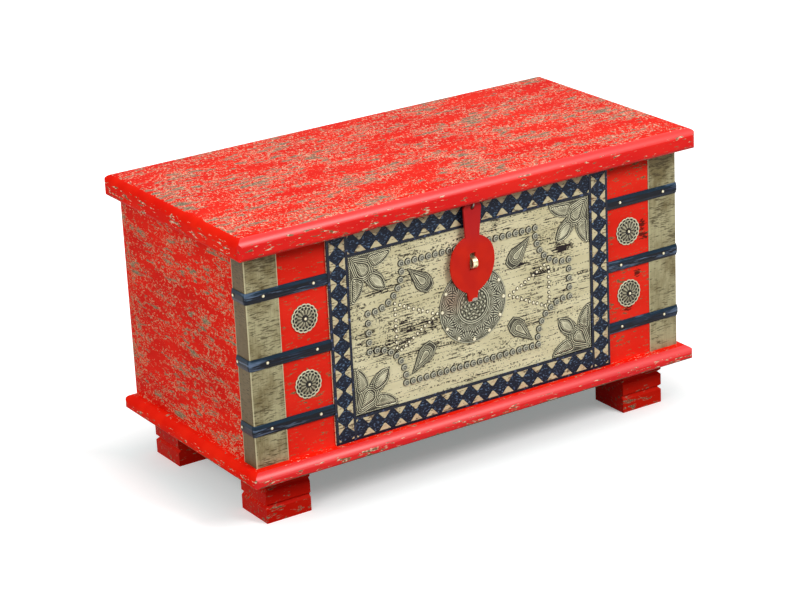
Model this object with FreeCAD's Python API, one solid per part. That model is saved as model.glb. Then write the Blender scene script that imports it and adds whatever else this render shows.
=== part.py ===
import FreeCAD, Part
import math
import os

from FreeCAD import Vector

# Painted wooden storage chest, brass fitted, with a hinged lid and a hasp on a staple.
# Millimetres. X runs along the front, Y goes to the back, Z up. The origin is on the
# floor, under the middle of the whole chest.

os.makedirs("parts", exist_ok=True)

# Carcass and lid boards
body_length = 758.0
body_depth = 363.0
board_thickness = 18.0
wall_height = 320.0
wall_corner_radius = 2.0
lid_thickness = 33.0
lid_end_overhang = 21.0
lid_front_overhang = 27.0
lid_rear_overhang = 10.0
lid_top_round = 14.0
lid_bottom_round = 6.0
base_thickness = 21.0
base_end_projection = 17.0
base_front_projection = 23.5
base_rear_projection = 11.5
base_top_round = 14.0
base_bottom_round = 3.0
board_corner_round = 9.0

# Feet, with two carved grooves on the faces that show
foot_height = 76.5
foot_width = 74.5
foot_depth = 71.5
foot_end_inset = 19.5
foot_side_inset = 15.5
foot_groove_depth = 4.0
foot_groove_height = 8.0
foot_groove_shares = (1 / 3, 2 / 3)

# Sheet brass wraps on the two front corners
wrap_thickness = 1.0
wrap_front_width = 53.5
wrap_side_width = 34.0
wrap_top_gap = 0.5

# Iron straps with sloped edges, bent round the front corners
strap_height = 17.0
strap_edge_thickness = 1.0
strap_crown_thickness = 2.4
strap_flat_share = 0.45
strap_pitch = 99.7
strap_drop = 3.8
strap_end_gap = 0.3

# Front panel with its patterned border. A bay is the bare board between a wrap and the panel.
bay_width = 79.3
panel_thickness = 2.0
panel_top_gap = 3.0
side_border_width = 34.2
row_border_width = 36.3
border_thickness = 1.2
bead_width = 4.0
bead_thickness = 1.8
tooth_pitch = 27.4
tooth_base = 20.0
tooth_height = 11.2
tooth_tip_radius = 2.4
tooth_relief = 0.8
tooth_offset = 4.3
tooth_edge_gap = 0.4

# Pierced rosettes
rosette_radius = 22.0
rosette_thickness = 1.2
rosette_scallops = 16
rosette_scallop_height = 2.0
rosette_scallop_share = 0.27
rosette_hole_radius = 15.2
rosette_hole_length = 6.0
rosette_hole_width = 3.6
rosette_boss_radius = 10.5
rosette_boss_height = 2.0
rosette_petals = 12
rosette_star_share = 0.8
rosette_crown_share = 0.3

# Embossed corner plates and kite plates
plate_thickness = 0.9
corner_plate_reach = 74.0
corner_plate_relief = 1.2
corner_plate_edge_gap = 0.3
kite_length_share = 0.657
kite_width_share = 0.62
kite_relief = 1.4

# Round medallion, sized by the nail outline round it
medallion_share = 0.641
medallion_rim_thickness = 0.9
medallion_crown_thickness = 3.0
medallion_dish = 0.8
medallion_ring_share = 0.46
medallion_nail_inset = 4.7
medallion_nail_count = 12

# Domed nails: the outline on the panel, and the ones that hold the fittings
dome_nail_radius = 5.3
dome_nail_height = 2.8
dome_nail_pitch = 12.0
outline_end_margin = 34.5
outline_row_margin = 29.9
outline_row_share = 0.664
outline_ear_share = 0.317
outline_bend_share = 0.26
outline_shift = -5.0
small_nail_radius = 2.6
small_nail_height = 1.6
nail_sides = 8
small_nail_sides = 6
nail_crown_share = 0.55
strap_nail_inset = 23.5
strap_nail_outset = 26.5
strap_nail_side_inset = 29.0

# Hasp, its eye under the lid and its staple on the panel. They and the medallion sit a
# little left of the middle.
medallion_shift = -2.0
hasp_shift = -5.0
hasp_thickness = 3.0
hasp_radius = 38.3
hasp_tip_length = 64.5
hasp_tip_width = 14.0
hasp_neck_width = 24.0
hasp_top_width = 31.0
hasp_top_margin = 6.0
hasp_hole_radius = 3.3
hasp_slot_width = 9.8
hasp_slot_height = 26.0
hasp_slot_offset = 2.0
hasp_tip_clearance = 0.8
eye_wire_radius = 1.3
eye_bends = 8
eye_radius = 5.0
eye_drop = 2.0
eye_leg_length = 18.0
eye_standoff = 13.9
eye_clearance = 0.45
staple_width = 8.0
staple_height = 18.0
staple_thickness = 1.8
staple_reach = 19.5
staple_leg_length = 15.0
staple_slot_offset = 2.0
staple_row_gap = 24.0

# Butt hinges behind the lid
hinge_length = 60.0
hinge_inset = 120.0
hinge_leaf_width = 16.0
hinge_leaf_thickness = 1.5
knuckle_radius = 3.3
knuckle_count = 3
knuckle_gap = 0.3
knuckle_clearance = 0.2
pin_radius = 1.5
pin_clearance = 0.05
gain_clearance = 0.4

cut_overrun = 1.0

# Levels and faces that the pieces share
base_bottom = foot_height
wall_bottom = base_bottom + base_thickness
wall_top = wall_bottom + wall_height
body_center_y = (lid_front_overhang - base_rear_projection) / 2
half_length = body_length / 2
front_y = body_center_y - body_depth / 2
back_y = body_center_y + body_depth / 2
panel_y = front_y - panel_thickness
panel_top = wall_top - panel_top_gap
wrap_edge_x = half_length + wrap_thickness - wrap_front_width
panel_half = wrap_edge_x - bay_width
field_half = panel_half - side_border_width
field_bottom = wall_bottom + row_border_width
field_top = panel_top - row_border_width
field_center = (field_bottom + field_top) / 2
outline_end_x = field_half - outline_end_margin
outline_row_x = outline_end_x * outline_row_share
outline_row_rise = field_top - field_center - outline_row_margin
outline_ear_rise = outline_row_rise * outline_ear_share
medallion_radius = outline_row_rise * medallion_share
medallion_ring_radius = medallion_radius * medallion_ring_share
medallion_nail_radius = medallion_radius - medallion_nail_inset
strap_levels = [
    (wall_bottom + wall_top) / 2 - strap_drop + step * strap_pitch for step in (1, 0, -1)
]


def save(node, shape):
    shape = shape.removeSplitter()
    shape.exportStep("parts/" + node + ".step")
    print(node, "solids", len(shape.Solids), "valid", shape.isValid())


def block(low, high):
    """A box between two corners."""
    size = high.sub(low)
    return Part.makeBox(size.x, size.y, size.z, low)


def on_front(x, z, y):
    """A point given as seen on the front, with its depth last."""
    return Vector(x, y, z)


def loop(points):
    """A closed wire through points. A pair of points after a point is an arc's middle and end."""
    edges = []
    here = points[0]
    for step in points[1:]:
        if isinstance(step, tuple):
            edges.append(Part.Arc(here, step[0], step[1]).toShape())
            here = step[1]
        else:
            edges.append(Part.LineSegment(here, step).toShape())
            here = step
    if here.distanceToPoint(points[0]) > pin_clearance:
        edges.append(Part.LineSegment(here, points[0]).toShape())
    return Part.Wire(edges)


def raised(points, thickness):
    """A flat piece on the front: its outline extruded towards the viewer."""
    return Part.Face(loop(points)).extrude(Vector(0, -thickness, 0))


def mirrored(shape):
    """The same shape on the other side of the chest's middle."""
    return shape.mirror(Vector(0, 0, 0), Vector(1, 0, 0))


def fused(shapes):
    shapes = list(shapes)
    return shapes[0].fuse(shapes[1:]) if len(shapes) > 1 else shapes[0]


def rounded_profile(low, high, bottom, top, bottom_round, top_round, place):
    """The end view of a board with rounded long edges, as a wire. place puts (across, up) in space."""
    diagonal = 1 - math.sqrt(1 / 2)
    low_top = low + top_round
    high_top = high - top_round
    low_bottom = low + bottom_round
    high_bottom = high - bottom_round
    return loop([
        place(low_bottom, bottom),
        place(high_bottom, bottom),
        (
            place(high - bottom_round * diagonal, bottom + bottom_round * diagonal),
            place(high, bottom + bottom_round),
        ),
        place(high, top - top_round),
        (place(high - top_round * diagonal, top - top_round * diagonal), place(high_top, top)),
        place(low_top, top),
        (place(low + top_round * diagonal, top - top_round * diagonal), place(low, top - top_round)),
        place(low, bottom + bottom_round),
        (
            place(low + bottom_round * diagonal, bottom + bottom_round * diagonal),
            place(low_bottom, bottom),
        ),
    ])


def rounded_board(low, high, bottom_round, top_round):
    """A board between two corners with its edges rounded above and below, mitred at the corners."""
    along = Part.Face(rounded_profile(
        low.y, high.y, low.z, high.z, bottom_round, top_round, lambda y, z: Vector(low.x, y, z)
    )).extrude(Vector(high.x - low.x, 0, 0))
    across = Part.Face(rounded_profile(
        low.x, high.x, low.z, high.z, bottom_round, top_round, lambda x, z: Vector(x, low.y, z)
    )).extrude(Vector(0, high.y - low.y, 0))
    plan = block(low, high)
    uprights = [edge for edge in plan.Edges if edge.BoundBox.ZLength > edge.BoundBox.DiagonalLength / 2]
    plan = plan.makeFillet(board_corner_round, uprights)
    return along.common(across).common(plan)


def facets(wide, narrow):
    """A solid with flat sides between two rings of points, corner to corner."""
    count = len(wide)
    sides = []
    for i in range(count):
        following = (i + 1) % count
        corners = [wide[i], wide[following], narrow[following], narrow[i], wide[i]]
        sides.append(Part.Face(Part.makePolygon(corners)))
    ends = [Part.Face(Part.makePolygon(ring + ring[:1])) for ring in (wide, narrow)]
    return Part.makeSolid(Part.makeShell(sides + ends))


def nail(x, z, surface_y, radius, height, sides):
    """A nail head on the front: a faceted dome, flat against the surface."""
    angles = [2 * math.pi * (side + 1 / 2) / sides for side in range(sides)]

    def ring(size, y):
        return [on_front(x + size * math.cos(angle), z + size * math.sin(angle), y) for angle in angles]

    return facets(ring(radius, surface_y), ring(radius * nail_crown_share, surface_y - height))


# Base board, walls and feet
def base_board():
    low = Vector(-half_length - base_end_projection, front_y - base_front_projection, base_bottom)
    high = Vector(half_length + base_end_projection, back_y + base_rear_projection, wall_bottom)
    return rounded_board(low, high, base_bottom_round, base_top_round)


def long_wall(outer_y, inward):
    """The front or back board, with its two outer upright edges eased."""
    inner_y = outer_y + inward * board_thickness
    low = Vector(-half_length, min(outer_y, inner_y), wall_bottom)
    high = Vector(half_length, max(outer_y, inner_y), wall_top)
    wall = block(low, high)
    eased = [
        edge for edge in wall.Edges
        if edge.BoundBox.ZLength > wall_height / 2 and abs(edge.CenterOfMass.y - outer_y) < cut_overrun
    ]
    return wall.makeFillet(wall_corner_radius, eased)


def end_wall():
    low = Vector(half_length - board_thickness, front_y + board_thickness, wall_bottom)
    high = Vector(half_length, back_y - board_thickness, wall_top)
    return block(low, high)


def foot(side, end):
    """One foot, at the left or right (side) and the front or back (end), both given as -1 or 1."""
    outer_x = side * (half_length - foot_end_inset)
    outer_y = body_center_y + end * (body_depth / 2 - foot_side_inset)
    inner_x = outer_x - side * foot_width
    inner_y = outer_y - end * foot_depth
    shape = block(
        Vector(min(outer_x, inner_x), min(outer_y, inner_y), 0),
        Vector(max(outer_x, inner_x), max(outer_y, inner_y), foot_height),
    )
    for share in foot_groove_shares:
        level = share * foot_height
        mouth = foot_groove_height / 2
        start_x = inner_x - side * cut_overrun
        start_y = inner_y - end * cut_overrun
        clear_x = outer_x + side * cut_overrun
        clear_y = outer_y + end * cut_overrun
        across = loop([
            Vector(outer_x - side * foot_groove_depth, start_y, level),
            Vector(outer_x, start_y, level + mouth),
            Vector(clear_x, start_y, level + mouth),
            Vector(clear_x, start_y, level - mouth),
            Vector(outer_x, start_y, level - mouth),
        ])
        shape = shape.cut(Part.Face(across).extrude(Vector(0, end * (foot_depth + 2 * cut_overrun), 0)))
        along = loop([
            Vector(start_x, outer_y - end * foot_groove_depth, level),
            Vector(start_x, outer_y, level + mouth),
            Vector(start_x, clear_y, level + mouth),
            Vector(start_x, clear_y, level - mouth),
            Vector(start_x, outer_y, level - mouth),
        ])
        shape = shape.cut(Part.Face(along).extrude(Vector(side * (foot_width + 2 * cut_overrun), 0, 0)))
    return shape


# Corner wraps and straps
def corner_wrap():
    """The right-hand wrap: sheet bent round the front corner."""
    inner = wall_corner_radius
    outer = wall_corner_radius + wrap_thickness
    center = Vector(half_length - inner, front_y + inner, wall_bottom)
    slant = math.sqrt(1 / 2)
    profile = loop([
        Vector(wrap_edge_x, front_y, wall_bottom),
        Vector(wrap_edge_x, front_y - wrap_thickness, wall_bottom),
        Vector(center.x, front_y - wrap_thickness, wall_bottom),
        (
            Vector(center.x + outer * slant, center.y - outer * slant, wall_bottom),
            Vector(center.x + outer, center.y, wall_bottom),
        ),
        Vector(center.x + outer, front_y - wrap_thickness + wrap_side_width, wall_bottom),
        Vector(center.x + inner, front_y - wrap_thickness + wrap_side_width, wall_bottom),
        Vector(center.x + inner, center.y, wall_bottom),
        (
            Vector(center.x + inner * slant, center.y - inner * slant, wall_bottom),
            Vector(center.x, front_y, wall_bottom),
        ),
    ])
    return Part.Face(profile).extrude(Vector(0, 0, wall_height - wrap_top_gap))


def strap(level):
    """A right-hand strap: a bar with sloped edges, along the front and round the corner."""
    inner = wall_corner_radius
    center = Vector(half_length - inner, front_y + inner, level)
    half = strap_height / 2
    edge = wrap_thickness + strap_edge_thickness
    crown = wrap_thickness + strap_crown_thickness
    start = panel_half + strap_end_gap
    flat = half * strap_flat_share
    face = Part.Face(loop([
        Vector(center.x, front_y, level - half),
        Vector(center.x, front_y - edge, level - half),
        Vector(center.x, front_y - crown, level - flat),
        Vector(center.x, front_y - crown, level + flat),
        Vector(center.x, front_y - edge, level + half),
        Vector(center.x, front_y, level + half),
    ]))
    front = face.extrude(Vector(start - center.x, 0, 0))
    corner = face.revolve(center, Vector(0, 0, 1), 90)
    turned = face.copy()
    turned.rotate(center, Vector(0, 0, 1), 90)
    side = turned.extrude(Vector(0, front_y - wrap_thickness + wrap_side_width - center.y, 0))
    return fused([front, corner, side]).cut(corner_wrap()).cut(long_wall(front_y, 1))


def strap_nail_places():
    """The two nails of a right-hand strap, as distances along the front."""
    return (panel_half + strap_nail_inset, half_length - strap_nail_outset)


def strap_nails():
    heads = []
    crown_y = front_y - wrap_thickness - strap_crown_thickness
    for level in strap_levels:
        for x in strap_nail_places():
            heads.append(nail(x, level, crown_y, small_nail_radius, small_nail_height, small_nail_sides))
        head = nail(0, 0, 0, small_nail_radius, small_nail_height, small_nail_sides)
        head.rotate(Vector(0, 0, 0), Vector(0, 0, 1), 90)
        head.translate(Vector(
            half_length + wrap_thickness + strap_crown_thickness,
            front_y - wrap_thickness + strap_nail_side_inset,
            level,
        ))
        heads.append(head)
    return Part.Compound(heads + [mirrored(head) for head in heads])


# Front panel, border and beads
def panel_board():
    return block(Vector(-panel_half, panel_y, wall_bottom), Vector(panel_half, front_y, panel_top))


def tooth(center_x, center_z, out_x, out_z):
    """A raised triangle with a rounded tip. (out_x, out_z) points from its base to its tip."""
    surface = panel_y - border_thickness
    half = tooth_base / 2
    slope = math.hypot(half, tooth_height)
    tip_half = tooth_tip_radius * tooth_height / slope
    shoulder = tooth_height - tip_half * tooth_height / half
    peak = shoulder + tooth_tip_radius - tooth_tip_radius * half / slope

    def place(across, up):
        x = center_x + across * out_z + up * out_x
        z = center_z + across * out_x + up * out_z
        return on_front(x, z, surface)

    return raised([
        place(-half, 0),
        place(half, 0),
        place(tip_half, shoulder),
        place(0, peak),
        place(-tip_half, shoulder),
    ], tooth_relief)


def border_piece(low_x, low_z, high_x, high_z, upright):
    """One border strip with its two rows of triangles, pointing at each other."""
    surface = panel_y - border_thickness
    strip = block(Vector(low_x, surface, low_z), Vector(high_x, panel_y, high_z))
    teeth = []
    middle = field_center + tooth_offset if upright else 0
    reach = max(high_x - low_x, high_z - low_z)
    for count in range(-int(reach / tooth_pitch), int(reach / tooth_pitch) + 1):
        place = middle + count * tooth_pitch
        if upright:
            teeth.append(tooth(low_x + tooth_edge_gap, place, 1, 0))
            teeth.append(tooth(high_x - tooth_edge_gap, place, -1, 0))
        else:
            teeth.append(tooth(place, low_z + tooth_edge_gap, 0, 1))
            teeth.append(tooth(place, high_z - tooth_edge_gap, 0, -1))
    room = block(
        Vector(low_x + tooth_edge_gap, surface - tooth_relief, low_z + tooth_edge_gap),
        Vector(high_x - tooth_edge_gap, panel_y, high_z - tooth_edge_gap),
    )
    kept = [piece.common(room) for piece in teeth]
    kept = [solid for piece in kept for solid in piece.Solids if solid.Volume > tooth_relief]
    return strip.fuse(kept)


def border_right():
    return border_piece(
        field_half + bead_width, wall_bottom + bead_width,
        panel_half - bead_width, panel_top - bead_width, True,
    )


def border_bottom():
    return border_piece(
        -field_half, wall_bottom + bead_width, field_half, field_bottom - bead_width, False
    )


def border_top():
    return border_piece(-field_half, field_top + bead_width, field_half, panel_top - bead_width, False)


def border_beads():
    """Thin strips along both edges of the border. The uprights run the full height."""
    near = panel_y - bead_thickness

    def bead(low_x, high_x, low_z, high_z):
        return block(Vector(low_x, near, low_z), Vector(high_x, panel_y, high_z))

    uprights = [
        bead(panel_half - bead_width, panel_half, wall_bottom, panel_top),
        bead(field_half, field_half + bead_width, wall_bottom, panel_top),
    ]
    short_ends = [
        bead(field_half + bead_width, panel_half - bead_width, low, low + bead_width)
        for low in (wall_bottom, panel_top - bead_width)
    ]
    rows = [
        bead(-field_half, field_half, low, low + bead_width)
        for low in (wall_bottom, field_bottom - bead_width, field_top, panel_top - bead_width)
    ]
    right = uprights + short_ends
    return Part.Compound(right + [mirrored(piece) for piece in right] + rows)


# Rosettes
def rosette(x, z):
    valley = rosette_radius - rosette_scallop_height
    step = 2 * math.pi / rosette_scallops

    def around(radius, angle, y=front_y):
        return on_front(x + radius * math.cos(angle), z + radius * math.sin(angle), y)

    outline = []
    for count in range(rosette_scallops):
        angle = count * step
        outline.append(around(valley, angle))
        outline.append(around(rosette_radius, angle + step * rosette_scallop_share))
        outline.append(around(rosette_radius, angle + step * (1 - rosette_scallop_share)))
    plate = raised(outline, rosette_thickness)
    holes = []
    spread = rosette_hole_width / rosette_hole_radius / 2
    for count in range(rosette_scallops):
        angle = (count + 1 / 2) * step
        holes.append(raised([
            around(rosette_hole_radius - rosette_hole_length / 2, angle),
            around(rosette_hole_radius, angle + spread),
            around(rosette_hole_radius + rosette_hole_length / 2, angle),
            around(rosette_hole_radius, angle - spread),
        ], rosette_thickness))
    plate = plate.cut(holes)

    def star(scale, y):
        points = []
        for count in range(rosette_petals):
            angle = 2 * math.pi * count / rosette_petals
            points.append(around(rosette_boss_radius * scale * rosette_star_share, angle, y))
            points.append(around(rosette_boss_radius * scale, angle + math.pi / rosette_petals, y))
        return points

    face_y = front_y - rosette_thickness
    return plate.fuse(facets(star(1, face_y), star(rosette_crown_share, face_y - rosette_boss_height)))


def rosette_places():
    x = (panel_half + wrap_edge_x) / 2
    levels = [(strap_levels[row] + strap_levels[row + 1]) / 2 for row in (0, 1)]
    return {
        "left_upper": (-x, levels[0]),
        "left_lower": (-x, levels[1]),
        "right_upper": (x, levels[0]),
        "right_lower": (x, levels[1]),
    }


# Embossed plates on the field
def corner_plate():
    """The plate in the field's top right corner: two arm leaves, a leaf between and a drop."""
    corner_x = field_half - corner_plate_edge_gap
    corner_z = field_top - corner_plate_edge_gap
    reach = corner_plate_reach

    def place(along, down, y=panel_y):
        return on_front(corner_x - along * reach, corner_z - down * reach, y)

    arm_shares = ((1, 0), (0.99, 0.08), (0.93, 0.18), (0.82, 0.27), (0.69, 0.33), (0.56, 0.35))
    leaf_shares = ((0.66, 0.41), (0.77, 0.52), (0.83, 0.66), (0.84, 0.84))
    half_outline = arm_shares + leaf_shares
    other_half = [(down, along) for along, down in reversed(half_outline[:-1])]
    outline = [place(0, 0)] + [place(along, down) for along, down in list(half_outline) + other_half]
    plate = raised(outline, plate_thickness)
    face_y = panel_y - plate_thickness
    drop_shares = ((0.13, 0.13), (0.17, 0.27), (0.27, 0.36), (0.37, 0.37), (0.36, 0.27), (0.27, 0.17))
    arm_pad_shares = ((0.50, 0.10), (0.90, 0.09), (0.87, 0.17), (0.75, 0.22), (0.56, 0.27), (0.47, 0.20))
    leaf_half_shares = ((0.55, 0.45), (0.66, 0.53), (0.70, 0.62))
    leaf_pad_shares = [(0.44, 0.44)] + list(leaf_half_shares) + [(0.72, 0.72)]
    leaf_pad_shares += [(down, along) for along, down in reversed(leaf_half_shares)]
    side_pad_shares = [(down, along) for along, down in arm_pad_shares]
    pads = [
        raised([place(along, down, face_y) for along, down in shares], corner_plate_relief)
        for shares in (drop_shares, arm_pad_shares, side_pad_shares, leaf_pad_shares)
    ]
    return plate.fuse(pads)


def upside_down(shape):
    """The same plate mirrored about the field's middle height."""
    return shape.mirror(Vector(0, 0, field_center), Vector(0, 0, 1))


def kite_plate():
    """The plate that points at the outline's top right corner: a kite with a raised drop."""
    corner_x = outline_row_x - dome_nail_radius * 2
    corner_rise = outline_row_rise - dome_nail_radius * 2
    length = (math.hypot(corner_x, corner_rise) - medallion_radius) * kite_length_share
    half_width = length * kite_width_share / 2
    slant = math.sqrt(1 / 2)

    def place(along, across, y=panel_y):
        x = corner_x - (along * length - across * half_width) * slant
        z = field_center + corner_rise - (along * length + across * half_width) * slant
        return on_front(x + outline_shift, z, y)

    shoulder_share = 0.70
    heel_shares = (0.94, 0.55)
    outline = [
        place(0, 0),
        place(shoulder_share, 1),
        place(heel_shares[0], heel_shares[1]),
        place(1, 0),
        place(heel_shares[0], -heel_shares[1]),
        place(shoulder_share, -1),
    ]
    plate = raised(outline, plate_thickness)
    face_y = panel_y - plate_thickness
    drop_half_shares = ((0.45, 0.33), (0.62, 0.48), (0.76, 0.34))
    drop_shares = [(0.18, 0)] + list(drop_half_shares) + [(0.82, 0)]
    drop_shares += [(along, -across) for along, across in reversed(drop_half_shares)]
    drop = raised([place(along, across, face_y) for along, across in drop_shares], kite_relief)
    return plate.fuse(drop)


def medallion():
    """A pressed disc: a flat rim, a rise to a ring and a dished middle."""
    profile = [
        (0, 0),
        (medallion_radius, 0),
        (medallion_radius, medallion_rim_thickness),
        (medallion_nail_radius - small_nail_radius, medallion_rim_thickness),
        (medallion_ring_radius, medallion_crown_thickness),
        (0, medallion_crown_thickness - medallion_dish),
    ]
    points = [on_front(medallion_shift + radius, field_center, panel_y - rise) for radius, rise in profile]
    center = Vector(medallion_shift, panel_y, field_center)
    return Part.Face(loop(points)).revolve(center, Vector(0, 1, 0), 360)


def medallion_nails():
    heads = []
    rim_y = panel_y - medallion_rim_thickness
    for count in range(medallion_nail_count):
        angle = 2 * math.pi * count / medallion_nail_count
        x = medallion_shift + medallion_nail_radius * math.cos(angle)
        z = field_center + medallion_nail_radius * math.sin(angle)
        heads.append(nail(x, z, rim_y, small_nail_radius, small_nail_height, small_nail_sides))
    return Part.Compound(heads)


# Nail outline
def outline_quarter():
    """The top right quarter of the nail outline as edges, from the field's middle."""
    bend_x = outline_row_x + outline_bend_share * (outline_end_x - outline_row_x)
    bend_rise = outline_ear_rise + outline_bend_share * (outline_row_rise - outline_ear_rise)
    corner = on_front(outline_row_x, outline_row_rise, 0)
    ear = on_front(outline_end_x, outline_ear_rise, 0)
    return [
        Part.LineSegment(on_front(0, outline_row_rise, 0), corner).toShape(),
        Part.Arc(corner, on_front(bend_x, bend_rise, 0), ear).toShape(),
        Part.LineSegment(ear, on_front(outline_end_x, 0, 0)).toShape(),
    ]


def dome_nail_places():
    """Evenly spaced places along the outline, the same on all four quarters."""
    places = []
    for edge in outline_quarter():
        steps = max(1, round(edge.Length / dome_nail_pitch))
        span = edge.LastParameter - edge.FirstParameter
        for count in range(steps + 1):
            at = edge.valueAt(edge.FirstParameter + span * count / steps)
            for side in (1, -1):
                for rise in (1, -1):
                    spot = Vector(side * at.x, 0, rise * at.z)
                    if all(spot.distanceToPoint(taken) > dome_nail_radius for taken in places):
                        places.append(spot)
    return places


def dome_nails():
    return Part.Compound([
        nail(
            spot.x + outline_shift, field_center + spot.z, panel_y,
            dome_nail_radius, dome_nail_height, nail_sides,
        )
        for spot in dome_nail_places()
    ])


# Hasp, eye and staple
eye_y = front_y - eye_standoff
eye_center = Vector(hasp_shift, eye_y, wall_top - eye_drop)
hasp_hole_z = eye_center.z - (eye_radius + hasp_hole_radius - eye_wire_radius - eye_clearance)
staple_level = field_center + outline_row_rise - staple_row_gap
hasp_slot_z = staple_level + staple_slot_offset
hasp_leaf_z = hasp_slot_z + hasp_slot_offset
hasp_tip_z = hasp_leaf_z - hasp_tip_length


def hasp():
    """A leaf-shaped plate on a cranked neck, hung from the eye and leaning in a little."""
    leaf_z = hasp_leaf_z
    tip_z = hasp_tip_z
    near = eye_y + hasp_thickness / 2
    top = hasp_hole_z + hasp_top_margin
    round_off = hasp_top_margin
    room_behind = panel_y - medallion_crown_thickness - near
    lean = math.degrees(math.asin((room_behind - hasp_tip_clearance) / (eye_center.z - tip_z)))
    slant = math.sqrt(1 / 2)
    neck = hasp_neck_width / 2
    shoulder_z = leaf_z + math.sqrt(hasp_radius ** 2 - neck ** 2)
    lower_shares = (0.78, 0.52)
    waist_shares = (0.36, 0.22)

    def place(x, z):
        return on_front(hasp_shift + x, z, near)

    top_half = hasp_top_width / 2
    flank = place(hasp_radius * lower_shares[0], leaf_z - (leaf_z - tip_z) * lower_shares[1])
    waist = place(hasp_tip_width / 2 * (1 + waist_shares[0]), tip_z + (leaf_z - tip_z) * waist_shares[1])
    tip = place(hasp_tip_width / 2, tip_z)

    def flip(point):
        return Vector(2 * hasp_shift - point.x, point.y, point.z)

    outline = [
        place(top_half - round_off, top),
        (
            place(top_half - round_off + round_off * slant, top - round_off + round_off * slant),
            place(top_half, top - round_off),
        ),
        place(neck, shoulder_z),
        (
            place(hasp_radius * slant, leaf_z + hasp_radius * slant),
            place(hasp_radius, leaf_z),
        ),
        (flank, waist),
        tip,
        flip(tip),
        flip(waist),
        (flip(flank), place(-hasp_radius, leaf_z)),
        (
            place(-hasp_radius * slant, leaf_z + hasp_radius * slant),
            place(-neck, shoulder_z),
        ),
        place(-top_half, top - round_off),
        (
            place(-top_half + round_off - round_off * slant, top - round_off + round_off * slant),
            place(-top_half + round_off, top),
        ),
    ]
    plate = raised(outline, hasp_thickness)
    through = hasp_thickness + 2 * cut_overrun
    hole_start = on_front(hasp_shift, hasp_hole_z, near + cut_overrun)
    hole = Part.makeCylinder(hasp_hole_radius, through, hole_start, Vector(0, -1, 0))
    slot_start = on_front(
        hasp_shift - hasp_slot_width / 2, hasp_slot_z - hasp_slot_height / 2, near + cut_overrun - through
    )
    slot = block(slot_start, slot_start.add(Vector(hasp_slot_width, through, hasp_slot_height)))
    plate = plate.cut([hole, slot])
    plate.rotate(eye_center, Vector(1, 0, 0), lean)
    return plate


def eye_ring(turn):
    """The corners of the wire's section, turned round the eye from its front end."""
    section = []
    for count in range(nail_sides):
        angle = 2 * math.pi * (count + 1 / 2) / nail_sides
        out = eye_radius + eye_wire_radius * math.cos(angle)
        across = eye_wire_radius * math.sin(angle)
        section.append(eye_center.add(Vector(across, -out * math.cos(turn), -out * math.sin(turn))))
    return section


def eye_legs():
    """The eye's two straight legs."""
    up = Vector(0, 0, eye_drop + eye_leg_length)
    rings = (eye_ring(0), eye_ring(math.pi))
    return [Part.Face(Part.makePolygon(ring + ring[:1])).extrude(up) for ring in rings]


def hasp_eye():
    """A bent wire driven up into the lid: half a ring below, two legs above."""
    turns = [math.pi * count / eye_bends for count in range(eye_bends + 1)]
    bends = [facets(eye_ring(turns[count]), eye_ring(turns[count + 1])) for count in range(eye_bends)]
    return fused(bends + eye_legs())


def staple():
    """A strip bent into an upright arch, with two flat legs driven into the board."""
    half = staple_height / 2
    tip_y = panel_y - staple_reach + panel_thickness
    spring_y = tip_y + half
    end_y = panel_y + staple_leg_length
    inner = half - staple_thickness

    def place(z, y):
        return Vector(hasp_shift - staple_width / 2, y, staple_level + z)

    outline = loop([
        place(-half, end_y),
        place(-half, spring_y),
        (place(0, tip_y), place(half, spring_y)),
        place(half, end_y),
        place(inner, end_y),
        place(inner, spring_y),
        (place(0, tip_y + staple_thickness), place(-inner, spring_y)),
        place(-inner, end_y),
    ])
    return Part.Face(outline).extrude(Vector(staple_width, 0, 0))


# Hinges
hinge_y = back_y + knuckle_radius + knuckle_clearance
hinge_z = wall_top - knuckle_radius - knuckle_clearance
hinge_places = (-(half_length - hinge_inset), half_length - hinge_inset)


def knuckles(center_x, own):
    """Every other knuckle of a hinge, as rings round the pin. own picks the first or second set."""
    pitch = hinge_length / knuckle_count
    start = center_x - hinge_length / 2
    rings = []
    for count in range(own, knuckle_count, 2):
        x = start + count * pitch + knuckle_gap / 2
        rings.append((x, pitch - knuckle_gap))
    return rings


def leaf(center_x, own, tab_low, tab_high, plate_low, plate_high):
    """A hinge leaf: a plate, a tab to each of its knuckles and the knuckles themselves, bored."""
    plate = block(
        Vector(center_x - hinge_length / 2, plate_low[0], plate_low[1]),
        Vector(center_x + hinge_length / 2, plate_high[0], plate_high[1]),
    )
    parts = [plate]
    bores = []
    for x, width in knuckles(center_x, own):
        axis_point = Vector(x, hinge_y, hinge_z)
        parts.append(Part.makeCylinder(knuckle_radius, width, axis_point, Vector(1, 0, 0)))
        tab_start = Vector(x, tab_low[0], tab_low[1])
        parts.append(block(tab_start, Vector(x + width, tab_high[0], tab_high[1])))
        bores.append(Part.makeCylinder(pin_radius + pin_clearance, width, axis_point, Vector(1, 0, 0)))
    return fused(parts).cut(bores)


def wall_leaf(center_x):
    """The leaf on the outside of the back board."""
    top = hinge_z - knuckle_radius - knuckle_gap
    outer_y = back_y + hinge_leaf_thickness
    return leaf(
        center_x, 0,
        (back_y, top), (outer_y, hinge_z),
        (back_y, top - hinge_leaf_width), (outer_y, top),
    )


def lid_leaf(center_x):
    """The leaf under the lid, lying in a gain in the back board's top edge."""
    near = hinge_y - knuckle_radius - knuckle_gap
    low_z = wall_top - hinge_leaf_thickness
    return leaf(
        center_x, 1,
        (near, low_z), (hinge_y, wall_top - knuckle_clearance),
        (near - hinge_leaf_width, low_z), (near, wall_top),
    )


def hinge_pin(center_x):
    return Part.makeCylinder(
        pin_radius, hinge_length, Vector(center_x - hinge_length / 2, hinge_y, hinge_z), Vector(1, 0, 0)
    )


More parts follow.
